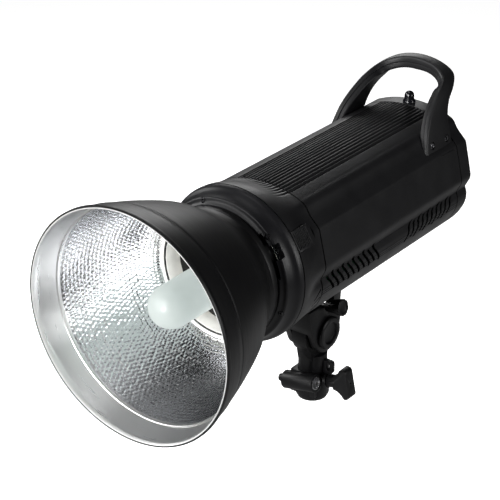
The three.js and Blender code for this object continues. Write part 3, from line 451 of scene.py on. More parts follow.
def refined(node, bevel):
    """A CAD node's own shape with rounded edges and smooth shading."""
    mesh = nodes[node].data.copy()
    tool = bmesh.new()
    tool.from_mesh(mesh)
    bmesh.ops.remove_doubles(tool, verts=tool.verts, dist=1e-6)
    bmesh.ops.dissolve_limit(tool, angle_limit=FLAT_ANGLE, verts=tool.verts, edges=tool.edges)
    tool.to_mesh(mesh)
    tool.free()
    piece = bpy.data.objects.new(node + "_finished", mesh)
    bpy.context.scene.collection.objects.link(piece)
    smooth(bevelled(piece, bevel))
    return dress(piece, body_of_node[node], slot_of_node[node], node)


# ---- Outline of the body -------------------------------------------------------------------------------
RIB_COUNT = 15
RIB_PITCH = 3.8
RIB_DEPTH = 1.55
RIBS_EDGE = RIB_PITCH * RIB_COUNT / 2
CROWN_TOP = 64
CROWN_SAG = 0.0052
CROWN_EDGE = 36.5
CROWN_STEPS = 66
PARTING_Z = -12.6
LOWER_RADIUS = 70  # of the rounded lower corners, about the light axis
BODY_BOTTOM = -66
FINE_LINES = [(63.8, -23.0), (63.5, -25.4), (63.0, -27.5)]  # shallow lines along the lower wall
FINE_LINE_DEPTH = 0.4


def spline(points, steps):
    """Catmull-Rom curve through points."""
    padded = [points[0], *points, points[-1]]
    out = []
    for i in range(len(points) - 1):
        p = [Vector(q) for q in padded[i:i + 4]]
        for step in range(steps):
            t = step / steps
            out.append(0.5 * (
                2 * p[1] + (p[2] - p[0]) * t + (2 * p[0] - 5 * p[1] + 4 * p[2] - p[3]) * t * t
                + (3 * p[1] - p[0] - 3 * p[2] + p[3]) * t ** 3))
    out.append(Vector(points[-1]))
    return out


def groove(x):
    """0 on the crest of a rib of the crown, 1 in the middle of the groove beside it."""
    return 0.5 - 0.5 * math.cos(2 * math.pi * (x / RIB_PITCH + 0.5))


def half_outline(rib_depth):
    """Right half of the section, from the middle of the crown to the middle of the bottom."""
    points = []
    for i in range(CROWN_STEPS + 1):
        x = CROWN_EDGE * i / CROWN_STEPS
        depth = rib_depth * (groove(x) ** 1.4 if x < RIBS_EDGE else 0)
        points.append((x, CROWN_TOP - CROWN_SAG * x * x - depth))
    shoulder = [(38, 56.4), (41.5, 55), (45, 52), (47.4, 48), (50, 44.4), (54, 40.3), (59, 35.4)]
    points += [tuple(p) for p in spline(shoulder, 4)]
    points += [
        (59.6, 34.0), (63.3, 18.2), (66.2, 5.2), (66.9, 2.2), (67.0, 0), (66.6, -2.9),
        (62.3, -11.4), (61.8, PARTING_Z), (62.2, -13.9), (63.4, -17.0), (63.8, -19),
    ]
    line_depth = FINE_LINE_DEPTH if rib_depth else 0
    for x, z in FINE_LINES:
        points += [(x, z + 0.3), (x - line_depth, z), (x, z - 0.3)]
    points += [(62.2, -30.4), (60.4, -34.2), (56.8, -40.6)]
    for degrees in range(-42, -70, -3):
        angle = math.radians(degrees - 0.6)
        points.append((LOWER_RADIUS * math.cos(angle), LOWER_RADIUS * math.sin(angle)))
    points += [(22, BODY_BOTTOM), (11, BODY_BOTTOM), (0, BODY_BOTTOM)]
    return points


def outline(grow=0.0, rib_depth=0.0):
    """The closed section, grown square to its surface."""
    right = half_outline(rib_depth)
    ring = right + [(-x, z) for x, z in reversed(right[1:-1])]
    grown = []
    for i, (x, z) in enumerate(ring):
        before, after = ring[i - 1], ring[(i + 1) % len(ring)]
        along = Vector((after[0] - before[0], after[1] - before[1])).normalized()
        grown.append((x - along.y * grow, z + along.x * grow))
    return grown


def body_ring(y, grow):
    return [head(x, y, z) for x, z in outline(grow)]


# ---- Reflector bowl ------------------------------------------------------------------------------------
SHEET = 1.2
BOWL_STEPS = 800
STEP_Y = 24.9  # the flat front band ends at a bright step here
DIMPLE_PITCH = 3.7
DIMPLES_ROUND = 136
DIMPLE_DEPTH = 0.52
DIMPLE_JITTER = 0.16
DIMPLE_EDGE = 0.6  # squared distance from a dimple's middle at which it ends
HAMMERED_SPACING = 0.64  # between the rings of the hammered surface
BOWL_LOOKS = ["reflector_outside", "reflector_aluminium", "reflector_band", "neck_painted_reflection", "rolled_rim"]
OUTSIDE, HAMMERED, BAND, NECK, LIP = range(5)
BLACK_EDGE = 3  # faces of the lip's profile that keep the outside's paint
BOWL_SMOOTH_ANGLE = math.radians(50)


def resampled(points, spacing):
    """Points at an even spacing along a polyline."""
    points = [Vector(p) for p in points]
    lengths = [0.0]
    for a, b in zip(points, points[1:]):
        lengths.append(lengths[-1] + (b - a).length)
    count = max(1, round(lengths[-1] / spacing))
    out = []
    segment = 0
    for i in range(count + 1):
        target = lengths[-1] * i / count
        while segment < len(points) - 2 and lengths[segment + 1] < target:
            segment += 1
        span = lengths[segment + 1] - lengths[segment] or 1
        out.append(points[segment].lerp(points[segment + 1], (target - lengths[segment]) / span))
    return out


def dimples(rows):
    """Depth of the hammered dimples at each row and step, from jittered cells in staggered rows."""
    random = np.random.default_rng(7)
    cell_rows = int(rows[-1] / DIMPLE_PITCH) + 3
    jitter = random.uniform(-DIMPLE_JITTER, DIMPLE_JITTER, (cell_rows, DIMPLES_ROUND, 2))
    v, u = np.meshgrid(np.array(rows) / DIMPLE_PITCH, np.arange(BOWL_STEPS) * DIMPLES_ROUND / BOWL_STEPS,
                       indexing="ij")
    nearest = np.full(u.shape, 9.0)
    for dv in (-1, 0, 1):
        cell_v = np.floor(v).astype(int) + dv
        row = np.clip(cell_v, 0, cell_rows - 1)
        shift = 0.5 * (row % 2)
        for du in (-1, 0, 1):
            cell_u = np.floor(u - shift).astype(int) + du
            column = cell_u % DIMPLES_ROUND
            off_u = cell_u + shift + 0.5 + jitter[row, column, 0] - u
            off_v = cell_v + 0.5 + jitter[row, column, 1] - v
            nearest = np.minimum(nearest, off_u ** 2 + off_v ** 2)
    return DIMPLE_DEPTH * np.minimum(nearest, DIMPLE_EDGE) / DIMPLE_EDGE


def reflector_bowl():
    outside = [
        (105, 1), (105, 3.2), (103.9, 4.4), (103.7, 6), (101, 20), (99.2, 25.6), (98.5, 26.3), (98.5, 27.2),
    ]
    outside += [tuple(p) for p in spline(
        [(98.6, 27.8), (92, 50), (80.9, 80), (68.8, 100), (63.4, 110), (61.5, NECK_Y)], 7)]
    neck = [(57, NECK_Y), (57, NECK_Y - SHEET), (60.0, NECK_Y - SHEET)]
    hammered = resampled(spline(
        [(60.5, 115.6), (62.4, 110), (67.7, 100), (79.7, 80), (90.8, 50), (96.6, 28)], 8), HAMMERED_SPACING)
    step = [(97.0, 26.4), (96.9, 25.6), (97.1, STEP_Y), (97.7, 24.5), (98.2, 24.4)]
    band = [tuple(p) for p in resampled([(98.4, 23.4), (99.4, 19), (102.3, 6)], 2.4)]
    lip = [
        (102.5, 3.6), (102.2, 2), (102.3, 0.8), (102.8, 0.15), (103.3, 0.2), (103.5, 0.8), (103.9, 0.1),
        (104.5, 0),
    ]
    profile = outside + neck + [tuple(p) for p in hammered] + step + band + lip
    points = np.array(profile)
    along = np.roll(points, -1, 0) - np.roll(points, 1, 0)
    along /= np.linalg.norm(along, axis=1)[:, None]
    normal = np.stack([along[:, 1], -along[:, 0]], 1)
    first = len(outside) + len(neck)
    spacing = np.linalg.norm(np.diff(points[first:first + len(hammered)], axis=0), axis=1)
    depth = dimples([0.0, *np.cumsum(spacing)])
    rows = np.arange(len(hammered))
    fade = np.clip(np.minimum(rows, len(hammered) - 1 - rows) / 3, 0, 1)
    offset = np.zeros((len(profile), BOWL_STEPS))
    offset[first:first + len(hammered)] = depth * fade[:, None]
    angle = np.arange(BOWL_STEPS) * 2 * np.pi / BOWL_STEPS
    radius = points[:, :1] + normal[:, :1] * offset
    y = points[:, 1:] + normal[:, 1:] * offset
    verts = np.stack(
        [radius * np.cos(angle) * MM, RIM_Y + y * MM, AXIS_Z + radius * np.sin(angle) * MM], 2)
    faces = ring_faces(BOWL_STEPS, len(profile), True)
    piece = mesh_object("reflector_shell", verts.reshape(-1, 3).tolist(), faces)
    zones = [OUTSIDE] * (len(outside) - 1) + [NECK] * len(neck) + [HAMMERED] * len(hammered)
    zones += [BAND] * (len(profile) - len(zones) - len(lip))
    zones += [LIP] * (len(lip) - BLACK_EDGE) + [OUTSIDE] * BLACK_EDGE
    dress(piece, "reflector", "reflector_aluminium", "reflector_bowl", looks=BOWL_LOOKS)
    for face, polygon in enumerate(piece.data.polygons):
        polygon.material_index = zones[face // BOWL_STEPS]
    return smooth(piece, BOWL_SMOOTH_ANGLE)


# ---- Mount ring and front housing ----------------------------------------------------------------------
FRONT_BORE = 56
LOCK_SPACE = 62.1  # radius of the room in which the lugs turn
HOUSING_RADIUS = 72.8  # where the mount ring meets the front housing
MOUNT_FRONT = head_y("mount_ring", 0)
MOUNT_REAR = head_y("mount_ring", 1)
LUG_ANGLES = [90, 210, 330]
ENTRY_WIDTH = 40
SCREW_ANGLES = [110, 45, -20, -85, -150]
SCREW_RADIUS = 64.3
RELEASE_ANGLE = 31.5
PIN_RADIUS = 60.4  # of the circle that the locking pin stands on
PIN_HOLE = 3.1
SECTOR_STEPS = 24


def rod(name, angle, radius, centre_radius, y0, y1, steps=32):
    """A round bar parallel to the light axis, at an angle and distance from it."""
    turn = math.radians(angle)
    centre = (centre_radius * math.cos(turn), centre_radius * math.sin(turn))
    return turned(name, [(radius, y0), (radius, y1)], steps, centre, closed=False)


def sector_cutter(inner, outer, y0, y1, middle, width):
    points = []
    for radius, order in ((outer, range(SECTOR_STEPS + 1)), (inner, range(SECTOR_STEPS, -1, -1))):
        for i in order:
            angle = math.radians(middle - width / 2 + width * i / SECTOR_STEPS)
            points.append((radius * math.cos(angle), radius * math.sin(angle)))
    return loft("sector", [[head(x, y, z) for x, z in points] for y in (y0, y1)])


def radial_box(angle, u0, u1, y0, y1, w0, w1, corner):
    return prism("radial_box", rectangle(u0, u1, y0, y1, corner), w0, w1, radial(angle))


def mount_ring():
    profile = [
        (57.7, MOUNT_FRONT + 0.5), (58.2, MOUNT_FRONT), (60.8, MOUNT_FRONT), (61.4, 127.3), (62.6, 128.7),
        (64.2, 129.4), (65.6, 129.6), (66.3, 130.0), (66.7, 130.8), (66.9, 131.8), (67.5, 134.6),
        (68.6, 137.4), (69.9, 139.5), (71.2, 140.8), (71.9, 141.9), (72.5, 144),
        (HOUSING_RADIUS, MOUNT_REAR - 0.5), (72.4, MOUNT_REAR), (FRONT_BORE, MOUNT_REAR),
        (FRONT_BORE, 137), (LOCK_SPACE, 137), (LOCK_SPACE, 132.2), (57.7, 132.2),
    ]
    ring = turned("mount_ring_finished", profile, 192)
    cutters = [
        sector_cutter(FRONT_BORE - 0.4, LOCK_SPACE, MOUNT_FRONT - 1, 133, angle + 60, ENTRY_WIDTH)
        for angle in LUG_ANGLES
    ]
    for angle in SCREW_ANGLES:
        cutters.append(rod("pocket", angle, 2.5, SCREW_RADIUS, 120, 131))
        cutters.append(rod("hole", angle, 1.6, SCREW_RADIUS, 130, 150))
    cutters.append(radial_box(RELEASE_ANGLE, -6.8, 6.8, 120, 134.5, 58.5, 67.4, 0.8))
    cutters.append(rod("pin_hole", RELEASE_ANGLE, PIN_HOLE, PIN_RADIUS, 130, 150))
    return dress(smooth(cut(ring, *cutters)), "head", "mount_plastic", "mount_ring")


def outline_radius(angle, ring):
    """Distance from the light axis to a closed section along an angle."""
    dx, dz = math.cos(angle), math.sin(angle)
    for (ax, az), (bx, bz) in zip(ring, ring[1:] + ring[:1]):
        ex, ez = bx - ax, bz - az
        across = dx * ez - dz * ex
        if abs(across) < 1e-12:
            continue
        reach = (ax * ez - az * ex) / across
        share = (ax * dz - az * dx) / across
        if reach > 0 and -1e-9 <= share <= 1 + 1e-9:
            return reach
    raise ValueError("the outline is open")


SEAM_DEPTH = 1.5  # the pieces step in beside their seams, which makes one dark line
SEAM_LIP = 0.4
SEAM_RISE = 0.15
HOUSING_RIB_DEPTH = 0.8
DRAIN_LEAN = math.radians(34)
DRAINS = [(-21, 178.5, 12.5), (-27.5, 179, 12), (-35, 180.5, 7)]  # angle, y, length


def front_housing():
    section = outline()
    degrees = [62 + 0.5 * i for i in range(113)] + [118 + 2 * i for i in range(1, 152)]
    angles = [math.radians(a) for a in degrees]
    reaches = [outline_radius(a, section) for a in angles]
    front = MOUNT_REAR + GAP
    rear = BODY_FRONT - GAP
    stations = [(0, -SEAM_DEPTH), (0.013, -SEAM_DEPTH), (0.016, 0)] + [(s / 16, 0) for s in range(1, 16)]
    stations += [(0.984, 0), (0.987, -SEAM_DEPTH), (1, -SEAM_DEPTH)]
    rings = []
    for share, grow in stations:
        station_y = front + share * (rear - front)
        blend = share * share * (3 - 2 * share)
        imprint = max(0.0, min(1.0, (share - 0.52) / 0.3))  # the ribs run out towards the mount
        ring = []
        for angle, reach in zip(angles, reaches):
            radius = HOUSING_RADIUS * (1 - blend) + reach * blend + grow
            x = radius * math.cos(angle)
            if math.sin(angle) > 0 and abs(x) < RIBS_EDGE:
                radius -= HOUSING_RIB_DEPTH * imprint * groove(x) ** 1.5
            ring.append(head(radius * math.cos(angle), station_y, radius * math.sin(angle)))
        rings.append(ring)
    housing = loft("front_housing_finished", rings)
    cutters = [
        rod("bore", 0, FRONT_BORE + 2, 0, 140, 190, 160),
        radial_box(RELEASE_ANGLE, -9.9, 9.9, 140, 177, 68, 80, 1.2),
        radial_box(RELEASE_ANGLE, -3.4, 3.4, 152, 169, 50, 70, 1.0),
        rod("pin_bore", RELEASE_ANGLE, PIN_HOLE, PIN_RADIUS, 140, 153),
    ]
    lean_cos, lean_sin = math.cos(DRAIN_LEAN), math.sin(DRAIN_LEAN)
    for angle, y, length in DRAINS:
        bar = rectangle(-0.9, 0.9, -length / 2, length / 2, 0.85)
        slot = [(u * lean_cos + v * lean_sin, y + v * lean_cos - u * lean_sin) for u, v in bar]
        cutters.append(prism("drain", slot, 58.5, 78, radial(angle)))
    return dress(smooth(cut(housing, *cutters)), "head", "body_plastic", "front_housing")


# ---- Body shells ---------------------------------------------------------------------------------------
BODY_WALL = 2.8


def clipped(points, height, above):
    """The part of a falling half outline above or below a height."""
    order = points if above else points[::-1]
    kept = []
    for a, b in zip(order, order[1:]):
        kept.append(a)
        if (b[1] - height) * (a[1] - height) <= 0 and a[1] != b[1]:
            share = (height - a[1]) / (b[1] - a[1])
            kept.append((a[0] + (b[0] - a[0]) * share, height))
            break
    return kept if above else kept[::-1]


def shell(name, above):
    """The body's tube above or below the parting line, open towards the other half."""
    height = PARTING_Z + (GAP / 2 if above else -GAP / 2)
    half = len(half_outline(0))

    def section(y, grow):
        outer = clipped(outline(grow, RIB_DEPTH)[:half], height, above)
        inner = clipped(outline(-BODY_WALL)[:half], height, above)
        if not above:
            outer, inner = outer[::-1], inner[::-1]
        right = outer + inner[::-1]
        outer_left = [(-x, z) for x, z in outer[:0:-1]]
        inner_left = [(-x, z) for x, z in inner[1:]]
        return [head(x, y, z) for x, z in outer_left + right + inner_left]

    return loft(name, [
        section(BODY_FRONT, -SEAM_DEPTH), section(BODY_FRONT + SEAM_LIP, -SEAM_DEPTH),
        section(BODY_FRONT + SEAM_LIP + SEAM_RISE, 0), section(BODY_REAR - SEAM_LIP - SEAM_RISE, 0),
        section(BODY_REAR - SEAM_LIP, -SEAM_DEPTH), section(BODY_REAR, -SEAM_DEPTH)])


HANDLE_SCREW_YS = [378, 403]
HANDLE_SCREW_Z = 46
HANDLE_SCREW_HOLE = 3.6  # in the handle, and
SHELL_SCREW_HOLE = 2.1  # in the shell below it
BRACKET_SCREW_YS = [229, 299]
BRACKET_SCREW_HOLE = 2.9
ROD_STEPS = 32


def circle(radius):
    angles = [2 * math.pi * i / ROD_STEPS for i in range(ROD_STEPS)]
    return [(radius * math.cos(angle), radius * math.sin(angle)) for angle in angles]


def side_rod(y, z, radius, x0, x1):
    """A round bar along X."""
    return prism("side_rod", circle(radius), x0, x1, lambda u, v, w: head(w, y + u, z + v))


def upright_rod(x, y, radius, z0, z1):
    """A round bar along Z."""
    return prism("upright_rod", circle(radius), z0, z1, lambda u, v, w: head(x + u, y + v, w))


def screw_rods(radius):
    """Bars where the handle's screws go through both sides."""
    return [side_rod(y, HANDLE_SCREW_Z, radius, *sorted((side * 40, side * 60)))
            for side in (1, -1) for y in HANDLE_SCREW_YS]


def corner_seam():
    """A groove from the rear seam, round the side panel's upper corner, to the handle's foot."""
    grooves = []
    for side in (1, -1):
        path = spline([
            Vector((side * 61.6, 416.5, 25.6)), Vector((side * 61.2, 414.8, 27.4)),
            Vector((side * 60.4, 413.4, 30.6)), Vector((side * 59.8, 410, 33.0)),
            Vector((side * 59.6, 404, 33.8)), Vector((side * 59.4, 388, 34.2)),
        ], 8)
        grooves.append(swept("groove", path, 0.45, 10))
    return grooves


def top_shell():
    piece = cut(shell("top_shell_finished", True), vent_cutters(), *screw_rods(SHELL_SCREW_HOLE),
                *corner_seam())
    return dress(smooth(piece), "head", "body_plastic", "top_shell")


VENT_HALF_WIDTH = 1.7
VENT_COUNT = 10
VENT_GROUPS = [
    {
        "start": 195.1, "pitch": 8.13, "first_is_long": False,
        "path": [(0, -13.3), (0.2, -15), (1.9, -17.5), (3.7, -19.8), (5.8, -22.6), (7.8, -25.4),
                 (8.6, -27.0), (8.7, -28.0)],
        "top": (0, -9.8), "end": (8.5, -29.6),
    },
    {
        "start": 333.1, "pitch": 8.17, "first_is_long": True,
        "path": [(-2.4, -13.2), (-5.0, -15.4), (-5.9, -18), (-6.3, -21), (-7.4, -23.5), (-9.3, -25.6),
                 (-11.0, -27.9)],
        "top": (0.4, -10.4), "end": (-12.5, -29.8),
    },
]


def vent_cutters():
    """Slots through the lower side walls, every second one longer at both ends."""
    slots = []
    for group in VENT_GROUPS:
        for i in range(VENT_COUNT):
            path = list(group["path"])
            if (i % 2 == 0) == group["first_is_long"]:
                path = [group["top"], *path, group["end"]]
            centre = spline(path, 3)
            start = group["start"] + group["pitch"] * i
            left = [(start + p.x - VENT_HALF_WIDTH, p.y) for p in centre]
            right = [(start + p.x + VENT_HALF_WIDTH, p.y) for p in centre]
            for side in (1, -1):
                ends = sorted((side * 50, side * 75))
                slots.append(prism("vent", left + right[::-1], *ends, lambda u, v, w: head(w, u, v)))
    return joined("vents", slots)


def bottom_shell():
    screws = [upright_rod(0, y, BRACKET_SCREW_HOLE, -80, -50) for y in BRACKET_SCREW_YS]
    piece = cut(shell("bottom_shell_finished", False), vent_cutters(), *screws)
    return dress(smooth(piece), "head", "body_plastic", "bottom_shell")


PANEL_X = 43
PANEL_BOTTOM = -50
PANEL_TOP = 46
PANEL_THICKNESS = 2.5
PANEL_LEDGE = 3  # the panel rests on this much of the cover's rear wall
SENSOR_Y = 422
SENSOR_HOLE = 3.4
REAR_ROUND = 4  # how far the rear edge's rounding reaches along y, and
REAR_INSET = 3  # how far it goes in


def block(x0, x1, y0, y1, z0, z1, corner=0.0):
    """A bar along Y with a rectangular, corner-rounded section."""
    return prism("block", rectangle(x0, x1, z0, z1, corner), y0, y1, lambda u, v, w: head(u, w, v))


def rear_cover():
    front = BODY_REAR + GAP
    rings = [body_ring(front, -SEAM_DEPTH), body_ring(front + SEAM_LIP, -SEAM_DEPTH)]
    rings += [body_ring(front + SEAM_LIP + SEAM_RISE, 0), body_ring(REAR - REAR_ROUND, 0)]
    for degrees in (20, 40, 60, 75, 90):
        turn = math.radians(degrees)
        y = REAR - REAR_ROUND + REAR_ROUND * math.sin(turn)
        rings.append(body_ring(y, -REAR_INSET * (1 - math.cos(turn))))
    hollow = loft("hollow", [body_ring(front - 2, -BODY_WALL - 0.4), body_ring(REAR - 6, -BODY_WALL - 0.4)])
    seat = block(-PANEL_X - GAP, PANEL_X + GAP, REAR - PANEL_THICKNESS - GAP, REAR + 5,
                 PANEL_BOTTOM - GAP, PANEL_TOP + GAP, 4)
    opening = block(-PANEL_X + PANEL_LEDGE, PANEL_X - PANEL_LEDGE, REAR - 10, REAR,
                    PANEL_BOTTOM + PANEL_LEDGE, PANEL_TOP - PANEL_LEDGE, 3)
    sensor = upright_rod(0, SENSOR_Y, SENSOR_HOLE, 55, 70)
    piece = cut(loft("rear_cover_finished", rings), hollow, seat, opening, sensor)
    return dress(smooth(piece), "head", "body_plastic", "rear_cover")


# ---- Handle --------------------------------------------------------------------------------------------
# The handle's two edges, from a foot towards the middle of the grip; the other half is their mirror.
FRONT_EDGE = [
    (56.4, 366, 38), (53, 370, 52), (50.3, 376, 64), (46.8, 387, 76), (42.6, 404, 88), (36, 422, 96.5),
    (20, 430.5, 103.6),
]
REAR_EDGE = [
    (56.4, 412, 38), (53.2, 411.5, 52), (50, 412.5, 64), (46.6, 419, 77), (42.4, 434, 88.5),
    (35.5, 443, 97), (20, 445.5, 103.8),
]
FRONT_EDGE_TOP = (0, 431.5, 106.5)
REAR_EDGE_TOP = (0, 446, 106.5)
ARCH_STEPS = 88
HANDLE_THICKNESS = 9.6
TOP_SWELL = 3  # how much thicker the handle is at its top
EASE_STEPS = 5


def arch_edge(points, top):
    """A handle edge from foot to foot, at even steps."""
    mirrored = [(-x, y, z) for x, y, z in points[::-1]]
    path = spline([*points, top, *mirrored], 14)
    lengths = sum((b - a).length for a, b in zip(path, path[1:]))
    return resampled(path, lengths / ARCH_STEPS)


def rounded(corners, radii):
    """A convex polygon with each corner eased over its own distance."""
    out = []
    for i, corner in enumerate(corners):
        here = Vector(corner)
        before = Vector(corners[i - 1]) - here
        after = Vector(corners[(i + 1) % len(corners)]) - here
        start = here + before.normalized() * radii[i]
        end = here + after.normalized() * radii[i]
        for step in range(EASE_STEPS + 1):
            t = step / EASE_STEPS
            out.append(start * (1 - t) ** 2 + here * (2 * t * (1 - t)) + end * t * t)
    return out


def arch_layer(name, from_share, to_share, inset, crown_height, outer_round, inner_round):
    """A sweep of the handle's section between two shares of its thickness."""
    front = arch_edge(FRONT_EDGE, FRONT_EDGE_TOP)
    rear = arch_edge(REAR_EDGE, REAR_EDGE_TOP)
    rings = []
    for i, (f, r) in enumerate(zip(front, rear)):
        before, after = max(i - 1, 0), min(i + 1, ARCH_STEPS)
        along = (front[after] - front[before]) + (rear[after] - rear[before])
        across = (r - f).normalized()
        inward = along.cross(r - f).normalized()
        height = min(i, ARCH_STEPS - i) / (ARCH_STEPS / 2)
        thickness = HANDLE_THICKNESS + TOP_SWELL * height * height
        width = (r - f).length
        top, bottom = thickness * from_share, thickness * to_share
        corners = [
            (inset, top), (width / 2, top - crown_height), (width - inset, top),
            (width - inset, bottom), (inset, bottom),
        ]
        ease = [outer_round, width * 0.2, outer_round, inner_round, inner_round]
        rings.append([head(*(f + across * p.x + inward * p.y)) for p in rounded(corners, ease)])
    body = loft("body", [body_ring(300, 0.35), body_ring(470, 0.35)])
    foot = block(-80, 80, 300, 470, 30, 40.3)
    return cut(loft(name, rings), body, foot)


def handle():
    """The cover is the outer part of the arch's thickness, and the grip the inner part."""
    cover = arch_layer("handle_cover_finished", 0, 0.46, 0, 0.7, 2.4, 0.5)
    cut(cover, *screw_rods(HANDLE_SCREW_HOLE))
    dress(smooth(cover), "head", "body_plastic", "handle_cover")
    grip = arch_layer("handle_grip_finished", 0.5, 1, 0.7, 0, 0.4, 2.6)
    cut(grip, *screw_rods(HANDLE_SCREW_HOLE))
    dress(smooth(grip), "head", "grip_plastic", "handle_grip")


# ---- Lamp and flash tube -------------------------------------------------------------------------------
lamp_low, lamp_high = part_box("modelling_lamp")
LAMP_Z = ((lamp_low.z + lamp_high.z) / 2 - AXIS_Z) / MM
LAMP_RADIUS = (lamp_high.x - lamp_low.x) / 2 / MM
LAMP_TIP = head_y("modelling_lamp", 0)
LAMP_WALL = 1.1
LAMP_NECK_RADIUS = 13.2
LAMP_STEPS = 72
DOME_STEPS = 14


def modelling_lamp():
    """A hollow frosted tube with a round tip, narrowed at the neck."""
    tilts = [math.pi / 2 * (i + 0.35) / DOME_STEPS for i in range(DOME_STEPS)]
    dome = [(LAMP_RADIUS * math.sin(a), LAMP_TIP + LAMP_RADIUS - LAMP_RADIUS * math.cos(a)) for a in tilts]
    neck = spline([(LAMP_RADIUS, 58), (LAMP_RADIUS, 139), (17, 152), (LAMP_NECK_RADIUS, 161)], 8)
    outer = dome + [tuple(p) for p in neck] + [(LAMP_NECK_RADIUS, 164)]
    inner = [(radius - LAMP_WALL, y + (LAMP_WALL if y < 45 else 0)) for radius, y in outer if radius > 2.5]
    turns = [2 * math.pi * i / LAMP_STEPS for i in range(LAMP_STEPS)]
    rings = [
        [head(r * math.cos(a), y, LAMP_Z + r * math.sin(a)) for a in turns]
        for r, y in outer + inner[::-1]
    ]
    return dress(smooth(loft("modelling_lamp_finished", rings)), "lamp", "frosted_glass", "modelling_lamp")


FLASH_RADIUS = 36
FLASH_Y = 146
FLASH_TUBE = 4.2
FLASH_START = -112  # degrees round the light axis
FLASH_TURN = 316
WIRE_CLEAR = 12  # steps of the tube's path at each end that the trigger wire leaves bare
WIRE_TURN = 0.62  # how far the trigger wire winds round the tube in one step


def swept(name, path, radius, sides):
    """A round tube along a path, with frames carried along so that it never twists."""
    rings = []
    normal = None
    for i, point in enumerate(path):
        tangent = (path[min(i + 1, len(path) - 1)] - path[max(i - 1, 0)]).normalized()
        if normal is None:
            normal = tangent.orthogonal().normalized()
        normal = (normal - tangent * normal.dot(tangent)).normalized()
        side = tangent.cross(normal)
        rings.append([
            head(*(point + normal * (radius * math.cos(a)) + side * (radius * math.sin(a))))
            for a in [2 * math.pi * k / sides for k in range(sides)]])
    return loft(name, rings)


def flash_tube():
    """A ring-shaped glass tube with its legs turned back, and the trigger wire wound round it."""
    def on_ring(share, y):
        angle = math.radians(FLASH_START + FLASH_TURN * share)
        return Vector((FLASH_RADIUS * math.cos(angle), y, FLASH_RADIUS * math.sin(angle)))

    arc = [on_ring(i / 24, FLASH_Y) for i in range(25)]
    leg_ys = [168, 160, 153]
    points = [on_ring(0, y) for y in leg_ys] + arc + [on_ring(1, y) for y in reversed(leg_ys)]
    path = resampled(spline(points, 6), 1.6)
    dress(smooth(swept("flash_tube_finished", path, FLASH_TUBE, 24)), "head", "clear_glass", "flash_tube")
    wire = []
    for i, centre in enumerate(path[WIRE_CLEAR:-WIRE_CLEAR]):
        before, after = path[WIRE_CLEAR + i - 1], path[WIRE_CLEAR + i + 1]
        tangent = (after - before).normalized()
        out = Vector((centre.x, 0, centre.z)).normalized()
        side = tangent.cross(out)
        turn = i * WIRE_TURN
        wire.append(centre + (out * math.cos(turn) + side * math.sin(turn)) * (FLASH_TUBE + 0.3))
    fine = resampled(spline(wire, 4), 0.8)
    dress(smooth(swept("trigger_wire", fine, 0.35, 8)), "head", "bright_steel", looks=["trigger_wire"])


# ---- All pieces ----------------------------------------------------------------------------------------
def reflector_collar():
    """Painted outside like the bowl, and pale inside: the pale colour is a painted reflection that stands
    in for bare bright metal.
    """
    piece = refined("reflector_collar", 0.3)
    piece.data.materials.clear()
    piece.data.materials.append(LOOKS["neck_painted_reflection"])
    piece.data.materials.append(LOOKS["reflector_outside"])
    axis = head(0, 0, 0)
    for polygon in piece.data.polygons:
        away = polygon.center - axis
        outward = away.x * polygon.normal.x + away.z * polygon.normal.z
        polygon.material_index = 1 if outward > -0.02 * away.length else 0


reflector_bowl()
reflector_collar()
mount_ring()
front_housing()
top_shell()
bottom_shell()
rear_cover()
handle()
modelling_lamp()
flash_tube()

# CAD nodes whose shape is right, and the width of the rounding on their edges.
REFINED = {
    "release_slider": 0.35, "locking_pin": 0.3, "flash_tube_base": 0.6,
    "lamp_socket": 0.6, "control_panel": 0.3, "display_window": 0.2, "control_dial": 0.3,
    "test_button": 0.5, "modelling_button": 0.5, "slave_button": 0.5, "power_rocker": 0.5,
    "power_inlet": 0.4, "fuse_cap": 0.4, "sync_jack": 0.3, "slave_sensor": 0.25,
    "handle_screw_near_1": 0.8, "handle_screw_near_2": 0.8, "handle_screw_far_1": 0.8,
    "handle_screw_far_2": 0.8, "tilt_bracket": 0.9, "pivot_cap": 0.5, "pivot_bolt": 0.5,
    "tilt_lock_knob": 0.5, "stand_adapter": 0.8, "cross_tube_liner": 0.2, "cross_tube_screw": 0.6,
    "stand_clamp_knob": 1.0, "cross_tube_boss": 0.6, "accessory_lug": 0.5, "bracket_screw_1": 0.4,
    "bracket_screw_2": 0.4,
}
for node_name, edge in REFINED.items():
    refined(node_name, edge)

for name, node in nodes.items():
    look = LOOKS[slot_of_node[name]]
    if not node.material_slots:
        node.data.materials.append(look)
    for slot in node.material_slots:
        slot.material = look

# ---- Floor and light -----------------------------------------------------------------------------------
FLOOR_Z = -0.5
FLOOR_HALF = 9.0


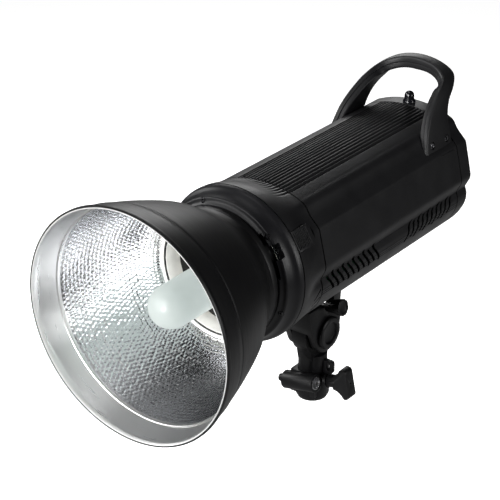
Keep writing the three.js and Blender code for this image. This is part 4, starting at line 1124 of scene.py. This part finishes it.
def floor():
    corners = [(-FLOOR_HALF, -FLOOR_HALF), (FLOOR_HALF, -FLOOR_HALF), (FLOOR_HALF, FLOOR_HALF),
               (-FLOOR_HALF, FLOOR_HALF)]
    made = mesh_object("floor", [(x, y, FLOOR_Z) for x, y in corners], [(0, 1, 2, 3)])
    paper = Shader("floor_paper", (0.93, 0.93, 0.93), 0.9, 0.0, Emission_Strength=0.85,
                   Emission_Color=(1, 1, 1, 1))
    paper.bump(paper.noise(30, 2), 0.02, 0.001)
    made.data.materials.append(paper.material)
    made.visible_diffuse = False  # the light that the floor gives back comes from from_floor instead
    made.visible_glossy = False


def area_light(name, place, target, size, power):
    data = bpy.data.lights.new(name, "AREA")
    data.shape = "RECTANGLE"
    data.size, data.size_y = size
    data.energy = power
    made = bpy.data.objects.new(name, data)
    made.location = place
    made.rotation_euler = (Vector(target) - Vector(place)).to_track_quat("-Z", "Y").to_euler()
    made.visible_camera = False
    bpy.context.scene.collection.objects.link(made)


floor()
CENTRE = (0, -0.1, 0.17)
area_light("front", (-0.1, -2.0, 1.15), CENTRE, (1.2, 1.0), 26)
area_light("front_low", (0.1, -2.1, 0.45), CENTRE, (0.8, 0.5), 40)
area_light("front_left", (-1.2, -1.6, 1.0), CENTRE, (0.8, 0.8), 15)
area_light("overhead", (-0.3, -0.1, 1.9), CENTRE, (1.0, 1.0), 4)
area_light("left", (-1.9, -0.4, 0.9), CENTRE, (0.8, 0.8), 18)
area_light("right", (1.9, 0.3, 0.7), CENTRE, (0.6, 0.9), 19)
area_light("back", (-1.15, 1.5, 1.05), CENTRE, (1.0, 0.8), 13)
area_light("from_floor", (0, 0, FLOOR_Z + 0.01), (0, 0, 0), (3.0, 3.0), 11)
world = bpy.data.worlds.new("studio")
world.use_nodes = True
world.node_tree.nodes["Background"].inputs["Color"].default_value = (1, 1, 1, 1)
world.node_tree.nodes["Background"].inputs["Strength"].default_value = 1.0
bpy.context.scene.world = world
world.cycles_visibility.diffuse = False  # the world is only a pale background
world.cycles_visibility.glossy = False
